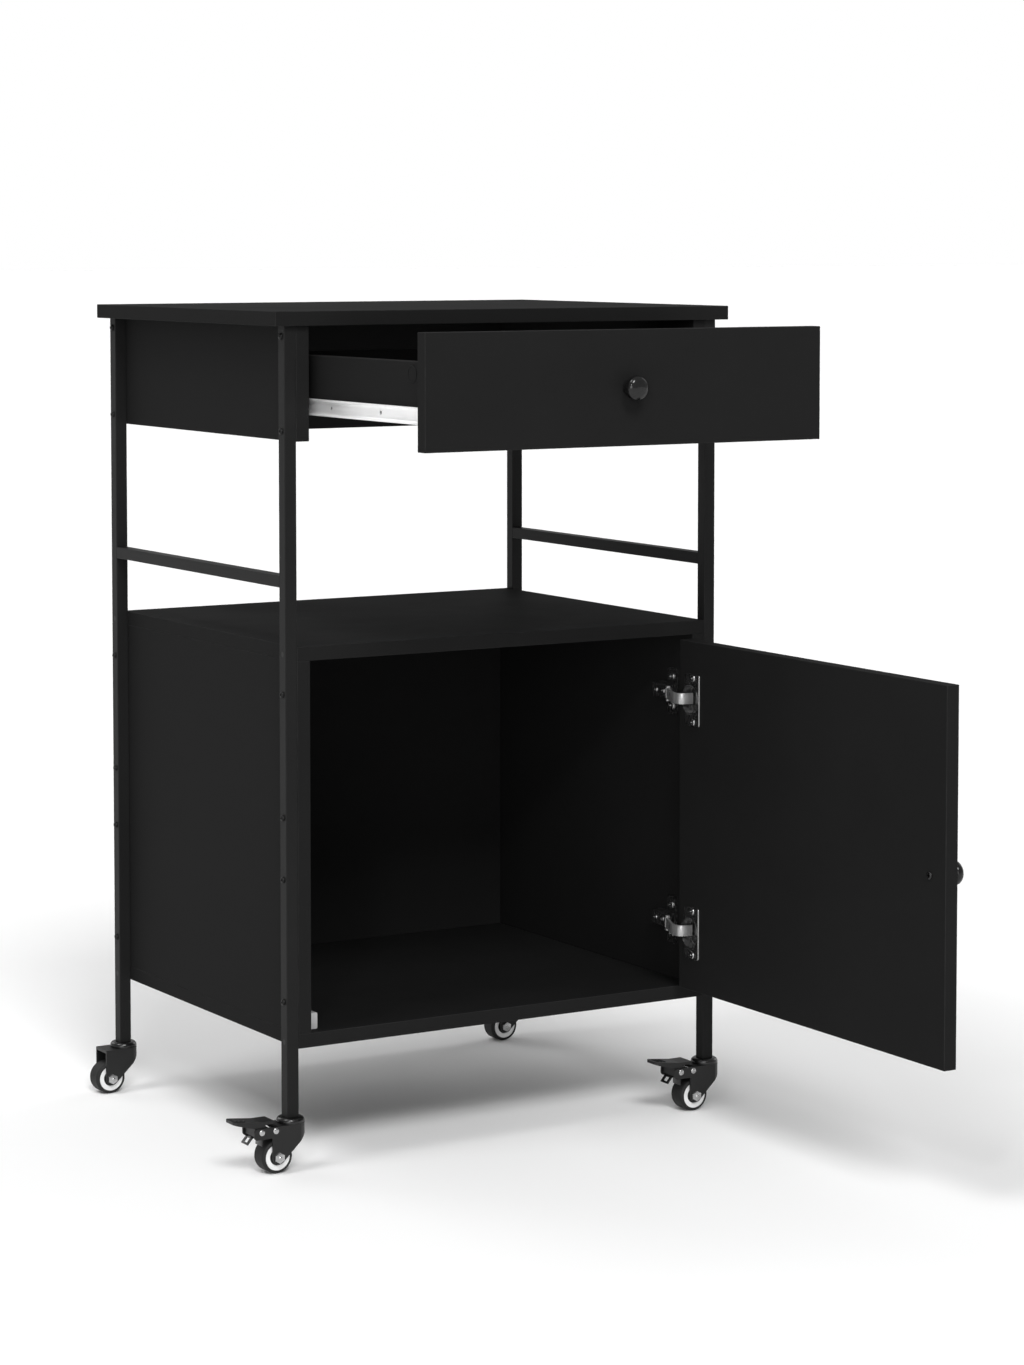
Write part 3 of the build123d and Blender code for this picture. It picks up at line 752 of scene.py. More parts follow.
    @staticmethod
    def extrude(move: Sequence[float]) -> None:
        """Draws what is selected out of its piece."""
        bpy.ops.mesh.extrude_region_move(TRANSFORM_OT_translate={"value": move})

    @staticmethod
    def done() -> None:
        """Leaves edit mode."""
        bpy.ops.object.mode_set(mode="OBJECT")

    @classmethod
    def bevel(cls, piece: bpy.types.Object, test: Test, width: float, facets: int = 4) -> None:
        """Rounds edges of a piece.

        Args:
            piece: the piece.
            test: says of an edge's two ends whether it is wanted.
            width: how far the rounding reaches.
            facets: how many facets it has.
        """
        cls.pick_edges(piece, test)
        bpy.ops.mesh.bevel(offset=width, segments=facets, profile=0.5, affect="EDGES")
        cls.done()

    @classmethod
    def round_top(cls, piece: bpy.types.Object, top: float, width: float, facets: int = 4) -> None:
        """Rounds the upper rim of a piece drawn along Z."""
        cls.bevel(piece, lambda a, b: min(a.z, b.z) > top - cls.NEAR, width, facets)

    @classmethod
    def draw(cls, piece: bpy.types.Object, test: Test, inset: float, move: float) -> None:
        """Insets faces and draws them along Z.

        Args:
            piece: the piece.
            test: says of a face's middle and normal whether it is wanted.
            inset: how far the new rim is from the old one.
            move: how far the faces go along Z.
        """
        cls.pick_faces(piece, test)
        bpy.ops.mesh.inset(thickness=inset, depth=0.0)
        cls.extrude((0.0, 0.0, move))
        cls.done()

    @classmethod
    def turned(cls, name: str, profile: Sequence[Pair], sides: int) -> bpy.types.Object:
        """Turns a piece round Z, each ring drawn out of the one below it and resized.

        Args:
            name: the piece's name.
            profile: the radius and height of each ring from the seat up, the first two of one radius.
            sides: how many sides it has.

        Returns:
            The new piece.
        """
        (radius, low), (_, height) = profile[:2]
        piece = cls.cylinder(name, radius, low, height, sides)
        cls.pick_faces(piece, cls.up)
        for next_radius, next_height in profile[2:]:
            cls.extrude((0.0, 0.0, next_height - height))
            share = next_radius / radius
            centre = (0.0, 0.0, next_height)
            bpy.ops.transform.resize(value=(share, share, 1.0), center_override=centre)
            radius, height = next_radius, next_height
        cls.done()
        return piece

    @classmethod
    def dome(cls, name: str, radius: float, height: float) -> bpy.types.Object:
        """Models a low domed head.

        Args:
            name: the head's name.
            radius: its radius.
            height: its height.

        Returns:
            The new head.
        """
        wall = height * cls.DOME_WALL
        rings = [(radius, 0.0), (radius, wall)]
        for step in range(1, cls.DOME_RINGS):
            angle = QUARTER_TURN * step / cls.DOME_RINGS
            rings.append((radius * math.cos(angle), wall + (height - wall) * math.sin(angle)))
        return cls.turned(name, rings, cls.DOME_SIDES)

    @classmethod
    def folded(
        cls, name: str, path: Sequence[Pair], width: float, bend: float, sheet: float
    ) -> bpy.types.Object:
        """Folds a strip of sheet along a path in the XY plane, with its width along Z.

        Args:
            name: the strip's name.
            path: the points that the middle of the sheet passes.
            width: the strip's width, half to each side of the plane.
            bend: how far each rounded fold reaches.
            sheet: the thickness of the sheet.

        Returns:
            The folded strip.
        """
        points = [Vector((x, y, 0.0)) for x, y in path]
        run = points[1] - points[0]
        middle = (points[0] + points[1]) / 2
        turn = (QUARTER_TURN, 0.0, math.atan2(run.y, run.x))
        cls.take()
        bpy.ops.mesh.primitive_plane_add(size=1.0, location=middle, rotation=turn)
        bpy.context.active_object.scale = (run.length, width, 1.0)
        strip = cls.named(name)
        cls.pick_edges(strip, cls.upright_at(points[1]))
        for start, end in zip(points[1:], points[2:]):
            cls.extrude(end - start)
        cls.done()
        for point in points[1:-1]:
            cls.bevel(strip, cls.upright_at(point), bend, cls.FOLD_FACETS)
        cls.modify(strip, "SOLIDIFY", thickness=sheet, offset=0.0)
        return strip

    @classmethod
    def modify(cls, piece: bpy.types.Object, kind: str, **settings: object) -> None:
        """Adds a modifier to a piece and applies it.

        Args:
            piece: the piece.
            kind: the modifier's type, such as BEVEL.
            **settings: the modifier's own settings.
        """
        cls.take(piece)
        step = piece.modifiers.new(kind.lower(), kind)
        for name, value in settings.items():
            setattr(step, name, value)
        bpy.ops.object.modifier_apply(modifier=step.name)

    @classmethod
    def soften(cls, piece: bpy.types.Object, width: float) -> None:
        """Breaks the sharp edges of a piece."""
        cls.modify(piece, "BEVEL", width=width, segments=cls.EASE_FACETS, limit_method="ANGLE")

    @classmethod
    def combine(cls, piece: bpy.types.Object, trim: Trim, other: bpy.types.Object) -> None:
        """Joins a second piece to the first or cuts it out, and deletes the second."""
        cls.modify(piece, "BOOLEAN", operation=trim.value, solver="EXACT", object=other)
        cls.discard(other)

    @classmethod
    def place(cls, piece: bpy.types.Object, matrix: Matrix) -> bpy.types.Object:
        """Moves a piece, and puts its new place into its mesh.

        Args:
            piece: the piece.
            matrix: where it goes.

        Returns:
            The same piece.
        """
        cls.take(piece)
        piece.matrix_world = matrix
        return cls.named(piece.name)

    @classmethod
    def copy(cls, piece: bpy.types.Object, name: str, matrix: Matrix) -> bpy.types.Object:
        """Copies a piece, mesh and all, to another place.

        Args:
            piece: the piece.
            name: the name of the copy.
            matrix: where the copy goes.

        Returns:
            The copy.
        """
        cls.take(piece)
        bpy.ops.object.duplicate(linked=False)
        return cls.place(cls.named(name), matrix)

    @classmethod
    def spread(cls, pattern: bpy.types.Object, places: Iterable[Matrix]) -> list[bpy.types.Object]:
        """Copies a pattern to several places, and deletes the pattern.

        Args:
            pattern: the piece modelled once.
            places: where the copies go.

        Returns:
            The copies.
        """
        copies = [cls.copy(pattern, "copy", matrix) for matrix in places]
        cls.discard(pattern)
        return copies

    @classmethod
    def join(cls, pieces: Sequence[bpy.types.Object], name: str) -> bpy.types.Object:
        """Joins pieces into one.

        Args:
            pieces: the pieces.
            name: the name of the joined piece.

        Returns:
            The joined piece.
        """
        cls.take(*pieces)
        bpy.ops.object.join()
        return cls.named(name)

    @classmethod
    def row(cls, pattern: bpy.types.Object, name: str, places: Iterable[Matrix]) -> bpy.types.Object:
        """Copies a pattern to several places as one named piece, and deletes the pattern."""
        return cls.join(cls.spread(pattern, places), name)

    @classmethod
    def settle(
        cls, piece: bpy.types.Object, finish: bpy.types.Material, body: str, slot: str, *nodes: str
    ) -> None:
        """Finishes a piece: smooth shading, its material, its body and what it stands for.

        Args:
            piece: the piece.
            finish: its material.
            body: the name of the body that it rides on.
            slot: the record's material slot; not used.
            *nodes: the nodes of the frame that it takes the place of.
        """
        cls.take(piece)
        bpy.ops.object.mode_set(mode="EDIT")
        bpy.ops.mesh.select_all(action="SELECT")
        bpy.ops.mesh.normals_make_consistent(inside=False)
        bpy.ops.object.mode_set(mode="OBJECT")
        bpy.ops.object.shade_smooth_by_angle(angle=cls.SMOOTH_ANGLE)
        piece.data.materials.clear()
        piece.data.materials.append(finish)
        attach(piece, body)
        if nodes:
            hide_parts(*nodes)
        LOG.info("made %s with %d faces", piece.name, len(piece.data.polygons))


@dataclass
class CrossHeadScrew:
    """A pan-head screw with a cross recess, drawn along +Z with its seat at the origin.

    The slots of the cross are shares of the head's radius, and their depth of its height.
    """

    head_radius: float
    head_height: float
    shank_radius: float
    shank_length: float
    dome_share: float = 0.62
    dome_facets: int = 5
    slot_reach: float = 1.2
    slot_width: float = 0.24
    slot_depth: float = 0.7

    def model(self, name: str) -> bpy.types.Object:
        """Models one screw.

        Args:
            name: the screw's name.

        Returns:
            The screw.
        """
        top = self.head_height
        screw = Bench.cylinder(name, self.head_radius, 0.0, top)
        Bench.round_top(screw, top, top * self.dome_share, self.dome_facets)
        Bench.draw(screw, Bench.down, self.head_radius - self.shank_radius, -self.shank_length)
        reach = self.slot_reach * self.head_radius
        width = self.slot_width * self.head_radius
        depth = 2.0 * self.slot_depth * top
        for size in ((reach, width, depth), (width, reach, depth)):
            Bench.combine(screw, Trim.CUT, Bench.cube("bit", size, (0.0, 0.0, top)))
        return screw


@dataclass
class Knobs:
    """The turned knobs with domed faces, each with the screw that holds it from behind."""

    finishes: Finishes
    foot_radius: float = 8.0 * MM
    foot_height: float = 0.8 * MM
    waist_level: float = 3.4 * MM
    neck_radius: float = 6.5 * MM
    neck_level: float = 8.5 * MM
    rim_radius: float = 12.5 * MM
    rim_level: float = 13.5 * MM
    height: float = 21.0 * MM
    squareness: float = 2.7
    rings: int = 12
    sides: int = 64
    bolt_head_radius: float = 4.0 * MM
    bolt_head_height: float = 2.0 * MM
    bolt_radius: float = 2.0 * MM
    pattern: bpy.types.Object = field(init=False)

    def __post_init__(self) -> None:
        """Models the knob that the others are copied from."""
        self.pattern = self._turn()

    def _turn(self) -> bpy.types.Object:
        """Turns one knob along +Z, with its foot at the origin.

        Returns:
            The knob.
        """
        neck, rim = self.neck_radius, self.rim_radius
        profile = [(self.foot_radius, 0.0), (self.foot_radius, self.foot_height)]
        profile += [(neck, self.waist_level), (neck, self.neck_level)]
        flare, lift = rim - neck, self.rim_level - self.neck_level
        crown, power = self.height - self.rim_level, 2.0 / self.squareness
        angles = [QUARTER_TURN * ring / self.rings for ring in range(1, self.rings)]
        for angle in angles:
            level = self.rim_level - lift * math.cos(angle)
            profile.append((neck + flare * math.sin(angle), level))
        profile.append((rim, self.rim_level))
        for angle in angles:
            level = self.rim_level + crown * math.sin(angle) ** power
            profile.append((rim * math.cos(angle) ** power, level))
        return Bench.turned("knob", profile, self.sides)

    def fit(self, body: str, facing: Facing, steel: Finish, slot: str) -> None:
        """Fits one knob and its screw.

        Args:
            body: the body that they ride on.
            facing: the way the knob looks.
            steel: the finish of the screw.
            slot: the screw's material slot in the record.
        """
        foot, _ = facing.ends(f"{body}_knob")
        knob = Bench.copy(self.pattern, f"{body}_knob_turned", facing.at(foot))
        Bench.settle(knob, self.finishes.get(Finishes.KNOB), body, "gloss_black", f"{body}_knob")
        behind = facing.opposite
        start, head = behind.ends(f"{body}_knob_screw")
        length = (head - start).length - self.bolt_head_height
        screw = CrossHeadScrew(self.bolt_head_radius, self.bolt_head_height, self.bolt_radius, length)
        seat = head - Vector(behind.value) * self.bolt_head_height
        bolt = Bench.place(screw.model(f"{body}_knob_bolt"), behind.at(seat))
        Bench.settle(bolt, self.finishes.get(steel), body, slot, f"{body}_knob_screw")


@dataclass
class Carcass:
    """The boards, tubes and screws that stand still."""

    finishes: Finishes

    BOARDS = (
        "tabletop", "upper_panel_left", "upper_panel_right", "upper_panel_rear", "shelf",
        "lower_panel_left", "lower_panel_right", "cabinet_back", "bottom_board",
    )
    RAILS = ("side_rail_left", "side_rail_right")

    def build(self) -> None:
        """Dresses the carcass."""
        dress = self.finishes.dress
        dress(Finishes.FOIL, *self.BOARDS)
        dress(Finishes.POWDER, *self.RAILS, *[f"post_{corner.value}" for corner in Corner])
        dress(Finishes.SCREW, "panel_screws", "shelf_screws")
        dress(Finishes.STOP, "door_stop")


@dataclass
class Drawer:
    """The drawer with its slides and knob."""

    finishes: Finishes
    knobs: Knobs
    slide_sheet: float = 1.2 * MM
    slide_bend: float = 3.6 * MM
    slide_edge: float = 0.25 * MM
    slide_hole_radius: float = 2.0 * MM
    slide_hole_first: float = 83.0 * MM
    slide_hole_pitch: float = 103.0 * MM
    slide_hole_count: int = 3
    slide_hole_sides: int = 32
    drill_reach: float = 2.0 * MM
    cam_radius: float = 8.6 * MM
    cam_height: float = 0.9 * MM
    cam_round: float = 0.4 * MM
    cam_rim: float = 1.3 * MM
    cam_dish: float = 0.3 * MM
    cam_sides: int = 48
    cam_back: float = 25.0 * MM
    cam_drop: float = 12.5 * MM

    BOARDS = ("drawer_front", "drawer_side_left", "drawer_side_right", "drawer_back", "drawer_bottom")
    SLIDES = ("slide_rail_left", "slide_rail_right", "slide_ball_cages")

    def build(self) -> None:
        """Dresses the drawer, and fits its knob, runners and the covers of its corner fittings."""
        self.finishes.dress(Finishes.FOIL, *self.BOARDS)
        self.finishes.dress(Finishes.ZINC, *self.SLIDES)
        self.knobs.fit("drawer", Facing.FRONT, Finishes.NICKEL, "bright_steel")
        for side in Side:
            self._runner(side)
        self._cam_covers()

    def _runner(self, side: Side) -> None:
        """The channel on one side of the drawer, folded from sheet, with its row of holes.

        Args:
            side: the side that it is on.
        """
        node = f"slide_runner_{side.value}"
        low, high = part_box(node)
        web, lip = (high.x, low.x) if side is Side.LEFT else (low.x, high.x)
        fold = web + math.copysign(self.slide_sheet / 2, lip - web)
        top = (high.z - low.z - self.slide_sheet) / 2
        path = ((lip, top), (fold, top), (fold, -top), (lip, -top))
        length = high.y - low.y
        runner = Bench.folded(f"{node}_folded", path, length, self.slide_bend, self.slide_sheet)
        Bench.soften(runner, self.slide_edge)
        level = (low.z + high.z) / 2
        middle = Matrix.Translation((0.0, (low.y + high.y) / 2, level))
        Bench.place(runner, middle @ Matrix.Rotation(QUARTER_TURN, 4, "X"))
        reach = self.drill_reach
        drill = Bench.cylinder("drill", self.slide_hole_radius, -reach, reach, self.slide_hole_sides)
        first = low.y + self.slide_hole_first
        holes = [first + index * self.slide_hole_pitch for index in range(self.slide_hole_count)]
        drills = Bench.row(drill, "drills", [Facing.RIGHT.at((web, y, level)) for y in holes])
        Bench.combine(runner, Trim.CUT, drills)
        Bench.settle(runner, self.finishes.get(Finishes.ZINC), "drawer", "bright_steel", node)

    def _cam_covers(self) -> None:
        """Flat round covers over the corner fittings that hold the front."""
        cover = Bench.cylinder("cover", self.cam_radius, 0.0, self.cam_height, self.cam_sides)
        Bench.round_top(cover, self.cam_height, self.cam_round, facets=3)
        Bench.draw(cover, Bench.up, self.cam_rim, -self.cam_dish)
        left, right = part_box("drawer_side_left"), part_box("drawer_side_right")
        y = left[0].y + self.cam_back
        z = left[1].z - self.cam_drop
        places = (Facing.LEFT.at((left[0].x, y, z)), Facing.RIGHT.at((right[1].x, y, z)))
        covers = Bench.row(cover, "drawer_cam_covers", places)
        Bench.settle(covers, self.finishes.get(Finishes.FOIL), "drawer", "black_plastic")


@dataclass
class Door:
    """The door with its knob."""

    finishes: Finishes
    knobs: Knobs

    def build(self) -> None:
        """Dresses the door and fits its knob."""
        self.finishes.dress(Finishes.FOIL, "door_panel")
        self.knobs.fit("door", Facing.RIGHT, Finishes.DARK_STEEL, "black_steel")


@dataclass
class ConcealedHinges:
    """The two cup hinges, drawn as they stand with the door open.

    Cup and link are modelled once at floor level, and copied to the height of each hinge.
    """

    finishes: Finishes
    door_face: float = 209.0 * MM
    flange_thickness: float = 1.6 * MM
    flange_span: Pair = (-263.6 * MM, -235.5 * MM)
    flange_height: float = 57.0 * MM
    flange_corner: float = 3.0 * MM
    corner_facets: int = 6
    flange_round: float = 1.3 * MM
    cup_y: float = -246.0 * MM
    cup_radius: float = 17.4 * MM
    cup_wall: float = 1.0 * MM
    cup_depth: float = 11.4 * MM
    cup_round: float = 2.0 * MM
    cup_hollow_round: float = 1.5 * MM
    cup_sides: int = 64
    cup_screw_spread: float = 24.0 * MM
    plate_screw_spread: float = 16.0 * MM
    cup_head_radius: float = 3.8 * MM
    plate_head_radius: float = 4.6 * MM
    screw_head_height: float = 1.6 * MM
    screw_radius: float = 1.75 * MM
    edge: float = 0.3 * MM
    link_width: float = 11.8 * MM
    link_thickness: float = 2.6 * MM
    link_bend: float = 4.5 * MM
    link_path: tuple[Pair, ...] = (
        (218.0 * MM, -188.0 * MM),
        (202.8 * MM, -220.5 * MM),
        (202.8 * MM, -234.0 * MM),
        (217.4 * MM, -237.2 * MM),
    )
    pin_radius: float = 1.5 * MM
    pin_half: float = 7.5 * MM
    pin_sides: int = 24
    rivet_radius: float = 2.6 * MM
    rivet_height: float = 0.7 * MM
    rivet_round: float = 0.49 * MM
    rivet_sides: int = 32
    adjuster_radius: float = 3.0 * MM
    adjuster_height: float = 1.0 * MM
    adjuster_depth: float = 2.0 * MM
    adjuster_face: float = 226.0 * MM
    adjuster_places: Pair = (-166.0 * MM, -152.0 * MM)

    def build(self) -> None:
        """Dresses the plates and arms, and models the cups, links and screws."""
        # the plates and arms get the darker nickel, which is painted shade
        self.finishes.dress(Finishes.SHADED_NICKEL, "hinge_arms", "hinge_plates")
        cup, link = self._cup(), self._link()
        for level in Level:
            self._hang(cup, "hinge_cup", level, Finishes.SHADED_NICKEL, "door")
            self._hang(link, "hinge_link", level, Finishes.LINK, "hinge_links")
        Bench.discard(cup, link)
        self._screws("hinge_cup_screws", "door", self.cup_screw_spread, self.cup_head_radius)
        self._screws("hinge_plate_screws", "carcass", self.plate_screw_spread, self.plate_head_radius)
        self._adjusters()

    def _hang(
        self, pattern: bpy.types.Object, name: str, level: Level, finish: Finish, body: str
    ) -> None:
        """Copies a pattern to the height of one hinge.

        Args:
            pattern: the piece modelled at floor level.
            name: what the piece is called, as the frame's node calls it in the plural.
            level: which hinge it belongs to.
            finish: its finish.
            body: the body that it rides on.
        """
        height = Matrix.Translation((0.0, 0.0, level.value))
        piece = Bench.copy(pattern, f"{name}_{level.name.lower()}", height)
        Bench.settle(piece, self.finishes.get(finish), body, "bright_steel", f"{name}s")

    def _cup(self) -> bpy.types.Object:
        """Models a pressed cup with its screw flange and eased edges.

        Returns:
            The cup at floor level.
        """
        front, rear = self.flange_span
        half = self.flange_thickness / 2
        face = self.door_face - self.flange_thickness
        size = (self.flange_thickness, rear - front, self.flange_height)
        cup = Bench.cube("cup", size, (self.door_face - half, (front + rear) / 2, 0.0))
        Bench.bevel(cup, lambda a, b: abs(a.x - b.x) > half, self.flange_corner, self.corner_facets)
        Bench.bevel(cup, lambda a, b: max(a.x, b.x) < face + Bench.NEAR, self.flange_round)
        mouth = Facing.RIGHT.at((face, self.cup_y, 0.0))
        depth = self.cup_depth + self.flange_thickness
        bowl = Bench.cylinder("bowl", self.cup_radius, half, depth, self.cup_sides)
        Bench.round_top(bowl, depth, self.cup_round)
        Bench.combine(cup, Trim.JOIN, Bench.place(bowl, mouth))
        inside = self.cup_radius - self.cup_wall
        bottom = depth - self.cup_wall
        hollow = Bench.cylinder("hollow", inside, -Bench.PAST, bottom, self.cup_sides)
        Bench.round_top(hollow, bottom, self.cup_hollow_round)
        Bench.combine(cup, Trim.CUT, Bench.place(hollow, mouth))
        Bench.soften(cup, self.edge)
        return cup

    def _link(self) -> bpy.types.Object:
        """Models a gooseneck link, folded from strip, with its riveted pin.

        Returns:
            The link at floor level.
        """
        sheet = self.link_thickness
        strip = Bench.folded("strip", self.link_path, self.link_width, self.link_bend, sheet)
        Bench.soften(strip, self.edge)
        pivot = Matrix.Translation((*self.link_path[0], 0.0))
        pin = Bench.cylinder("pin", self.pin_radius, -self.pin_half, self.pin_half, self.pin_sides)
        tip = self.pin_half + self.rivet_height
        rivet = Bench.cylinder("rivet", self.rivet_radius, self.pin_half, tip, self.rivet_sides)
        Bench.round_top(rivet, tip, self.rivet_round)
        rivets = Bench.spread(rivet, (pivot, pivot @ Matrix.Rotation(math.pi, 4, "X")))
        return Bench.join([strip, Bench.place(pin, pivot), *rivets], "link")

    def _screws(self, node: str, body: str, spread: float, radius: float) -> None:
        """Cross-head screws in place of a node's four plain ones.

        Args:
            node: the node's name.
            body: the body that it belongs to.
            spread: how far each screw is above or below its hinge's middle.
            radius: the radius of its head.
        """
        start, head = Facing.LEFT.ends(node)
        length = (head - start).length - self.screw_head_height
        screw = CrossHeadScrew(radius, self.screw_head_height, self.screw_radius, length)
        x = head.x + self.screw_head_height
        heights = [level.value + side * spread for level in Level for side in (-1.0, 1.0)]
        places = [Facing.LEFT.at((x, head.y, z)) for z in heights]
        screws = Bench.row(screw.model("screw"), f"{node}_crossed", places)
        Bench.settle(screws, self.finishes.get(Finishes.NICKEL), body, "bright_steel", node)

    def _adjusters(self) -> None:
        """The two setting screws on the top of each arm."""
        screw = CrossHeadScrew(
            self.adjuster_radius, self.adjuster_height, self.screw_radius, self.adjuster_depth
        )
        spots = [(self.adjuster_face, y, level.value) for level in Level for y in self.adjuster_places]
        places = [Facing.LEFT.at(spot) for spot in spots]
        screws = Bench.row(screw.model("adjuster"), "hinge_adjusters", places)
        Bench.settle(screws, self.finishes.get(Finishes.NICKEL), "carcass", "bright_steel")


@dataclass
class Castors:
    """The four castors: fork, wheel, axle bolt and, at the front, a brake pedal with its shoe.

    Each fitting is modelled once round an axle at the origin, and copied to the corners.
    """

    finishes: Finishes
    cheek_out: float = 13.8 * MM
    bar_sides: int = 32
    axle_radius: float = 3.0 * MM
    nut_radius: float = 5.9 * MM
    nut_height: float = 3.0 * MM
    nut_chamfer: float = 0.6 * MM
    nut_sides: int = 6
    bolt_end_radius: float = 2.9 * MM
    bolt_end_height: float = 4.0 * MM
    pin_radius: float = 2.0 * MM
    pin_head_radius: float = 3.3 * MM
    pin_head_height: float = 1.4 * MM
    pin_level: float = 45.7 * MM
    pin_backs: Pair = (19.5 * MM, 3.4 * MM)
    shield_radius: float = 8.6 * MM
    shield_bore: float = 3.4 * MM
    shield_height: float = 1.4 * MM
    shield_round: float = 0.4 * MM
    shield_rim: float = 1.6 * MM
    shield_dish: float = 0.5 * MM
    shield_sides: int = 56
    shield_seat: float = 7.8 * MM
    shoe_sheet: float = 1.5 * MM
    shoe_bend: float = 2.2 * MM
    shoe_edge: float = 0.25 * MM
    shoe_run: float = 10.5 * MM
    lip_run: float = 6.5 * MM
    lip_drop: float = 7.5 * MM
    lip_slot: Triple = (5.2 * MM, 6.0 * MM, 7.0 * MM)

    def build(self) -> None:
        """Dresses the castors, and fits their bolts, bearing shields and brake shoes."""
        dress = self.finishes.dress
        dress(Finishes.DARK_STEEL, "castor_stems")
        plain, braked = self._bolts(()), self._bolts(self.pin_backs)
        shields, shoe = self._shields(), self._brake_shoe()
        for corner in Corner:
            where = corner.value
            dress(Finishes.MOULDED, f"castor_fork_{where}")
            dress(Finishes.HUB, f"castor_hub_{where}")
            dress(Finishes.RUBBER, f"castor_tyre_{where}")
            place = Matrix.Translation(corner.axle)
            piece = Bench.copy(braked if corner.braked else plain, f"castor_bolts_{where}", place)
            zinc = self.finishes.get(Finishes.BOLT)
            Bench.settle(piece, zinc, f"castor_{where}", "bright_steel", f"castor_pins_{where}")
            piece = Bench.copy(shields, f"bearing_shields_{where}", place)
            Bench.settle(piece, self.finishes.get(Finishes.SHIELD), f"wheel_{where}", "black_plastic")
            if corner.braked:
                dress(Finishes.MOULDED, f"brake_pedal_{where}")
                piece = Bench.copy(shoe, f"brake_shoe_{where}_folded", place)
                steel = self.finishes.get(Finishes.DARK_STEEL)
                Bench.settle(piece, steel, f"brake_{where}", "black_steel", f"brake_shoe_{where}")
        Bench.discard(plain, braked, shields, shoe)

    @staticmethod
    def _both_sides(pattern: bpy.types.Object, out: float) -> list[bpy.types.Object]:
        """Copies a pattern to both sides of the wheel, and deletes the pattern.

        Args:
            pattern: the piece modelled once, with its seat at the origin.
            out: how far each seat is from the middle of the wheel.

        Returns:
            The two copies.
        """
        places = (Facing.FRONT.at((0.0, -out, 0.0)), Facing.REAR.at((0.0, out, 0.0)))
        return Bench.spread(pattern, places)

    def _pin(self, end: bpy.types.Object, radius: float) -> bpy.types.Object:
        """Models a bar from cheek to cheek with an end piece on both.

        Args:
            end: the end piece, which is used up.
            radius: the radius of the bar.

        Returns:
            The pin.
        """
        bar = Bench.cylinder("bar", radius, -self.cheek_out, self.cheek_out, self.bar_sides)
        Bench.place(bar, Facing.FRONT.at((0.0, 0.0, 0.0)))
        return Bench.join([bar, *self._both_sides(end, self.cheek_out)], "pin")

    def _bolts(self, backs: Sequence[float]) -> bpy.types.Object:
        """Models the axle bolt with its nuts and, on a castor with a brake, the riveted pins.

        Args:
            backs: how far behind the axle each pin is.

        Returns:
            The bolts of one castor.
        """
        nut = Bench.cylinder("nut", self.nut_radius, 0.0, self.nut_height, self.nut_sides)
        Bench.round_top(nut, self.nut_height, self.nut_chamfer, facets=2)
        end = Bench.dome("end", self.bolt_end_radius, self.bolt_end_height)
        pins = [self._pin(Bench.join([nut, end], "axle_end"), self.axle_radius)]
        if backs:
            head = Bench.dome("head", self.pin_head_radius, self.pin_head_height)
            rise = self.pin_level - Corner.FRONT_LEFT.axle.z
            places = [Matrix.Translation((-back, 0.0, rise)) for back in backs]
            pins += Bench.spread(self._pin(head, self.pin_radius), places)
        return Bench.join(pins, "bolts")

    def _shields(self) -> bpy.types.Object:
        """Models the dark covers of the bearing, one in each face of the wheel.

        Returns:
            The shields of one wheel.
        """
        top = self.shield_height
        shield = Bench.cylinder("shield", self.shield_radius, 0.0, top, self.shield_sides)
        Bench.round_top(shield, top, self.shield_round, facets=3)
        Bench.draw(shield, Bench.up, self.shield_rim, -self.shield_dish)
        bore = Bench.cylinder("bore", self.shield_bore, -Bench.PAST, top + Bench.PAST)
        Bench.combine(shield, Trim.CUT, bore)
        return Bench.join(self._both_sides(shield, self.shield_seat), "shields")

    def _brake_shoe(self) -> bpy.types.Object:
        """Models the bent strip under the pedal: a pad towards the tyre and a slotted lip behind it.

        Returns:
            The shoe of one castor.
        """
        front = Corner.FRONT_LEFT
        low, high = [end - front.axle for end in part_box(f"brake_shoe_{front.value}")]
        half = self.shoe_sheet / 2
        pad, level = high.x - half, high.z - half
        root = Vector((pad - self.shoe_run, level))
        tip = root - Vector((self.lip_run, self.lip_drop))
        path = (tip, root, (pad, level), (pad, low.z + half))
        shoe = Bench.folded("shoe", path, high.y - low.y, self.shoe_bend, self.shoe_sheet)
        slot = Bench.cube("slot", self.lip_slot, (0.0, 0.0, 0.0))
        lean = Matrix.Rotation(math.atan2(self.lip_drop, self.lip_run), 4, "Z")
        middle = Matrix.Translation(((tip + root) / 2).to_3d())
        Bench.combine(shoe, Trim.CUT, Bench.place(slot, middle @ lean))
        Bench.soften(shoe, self.shoe_edge)
        return Bench.place(shoe, Matrix.Rotation(QUARTER_TURN, 4, "X"))


@dataclass(frozen=True)
class Sun:
    """A wide distant light.

    Attributes:
        name: the light's name.
        heading: the way its light travels.
        strength: its strength.
        spread: how wide it looks, in degrees.
    """

    name: str
    heading: Triple
    strength: float
    spread: float

    def add(self) -> None:
        """Puts the light in the scene."""
        turn = Vector(self.heading).to_track_quat("-Z", "Y").to_euler()
        bpy.ops.object.light_add(type="SUN", rotation=turn)
        light = bpy.context.active_object
        light.name = self.name
        light.data.energy = self.strength
        light.data.angle = math.radians(self.spread)


@dataclass(frozen=True)
class Panel:
    """A soft square light.

    Attributes:
        name: the light's name.
        place: where it hangs.
        target: the point that it faces.
        size: its side.
        power: its power in watts.
    """

    name: str
    place: Triple
    target: Triple
    size: float
    power: float

    def add(self) -> None:
        """Puts the light in the scene."""
        turn = (Vector(self.target) - Vector(self.place)).to_track_quat("-Z", "Y").to_euler()
        bpy.ops.object.light_add(type="AREA", location=self.place, rotation=turn)
        light = bpy.context.active_object
        light.name = self.name
        light.data.size = self.size
        light.data.energy = self.power


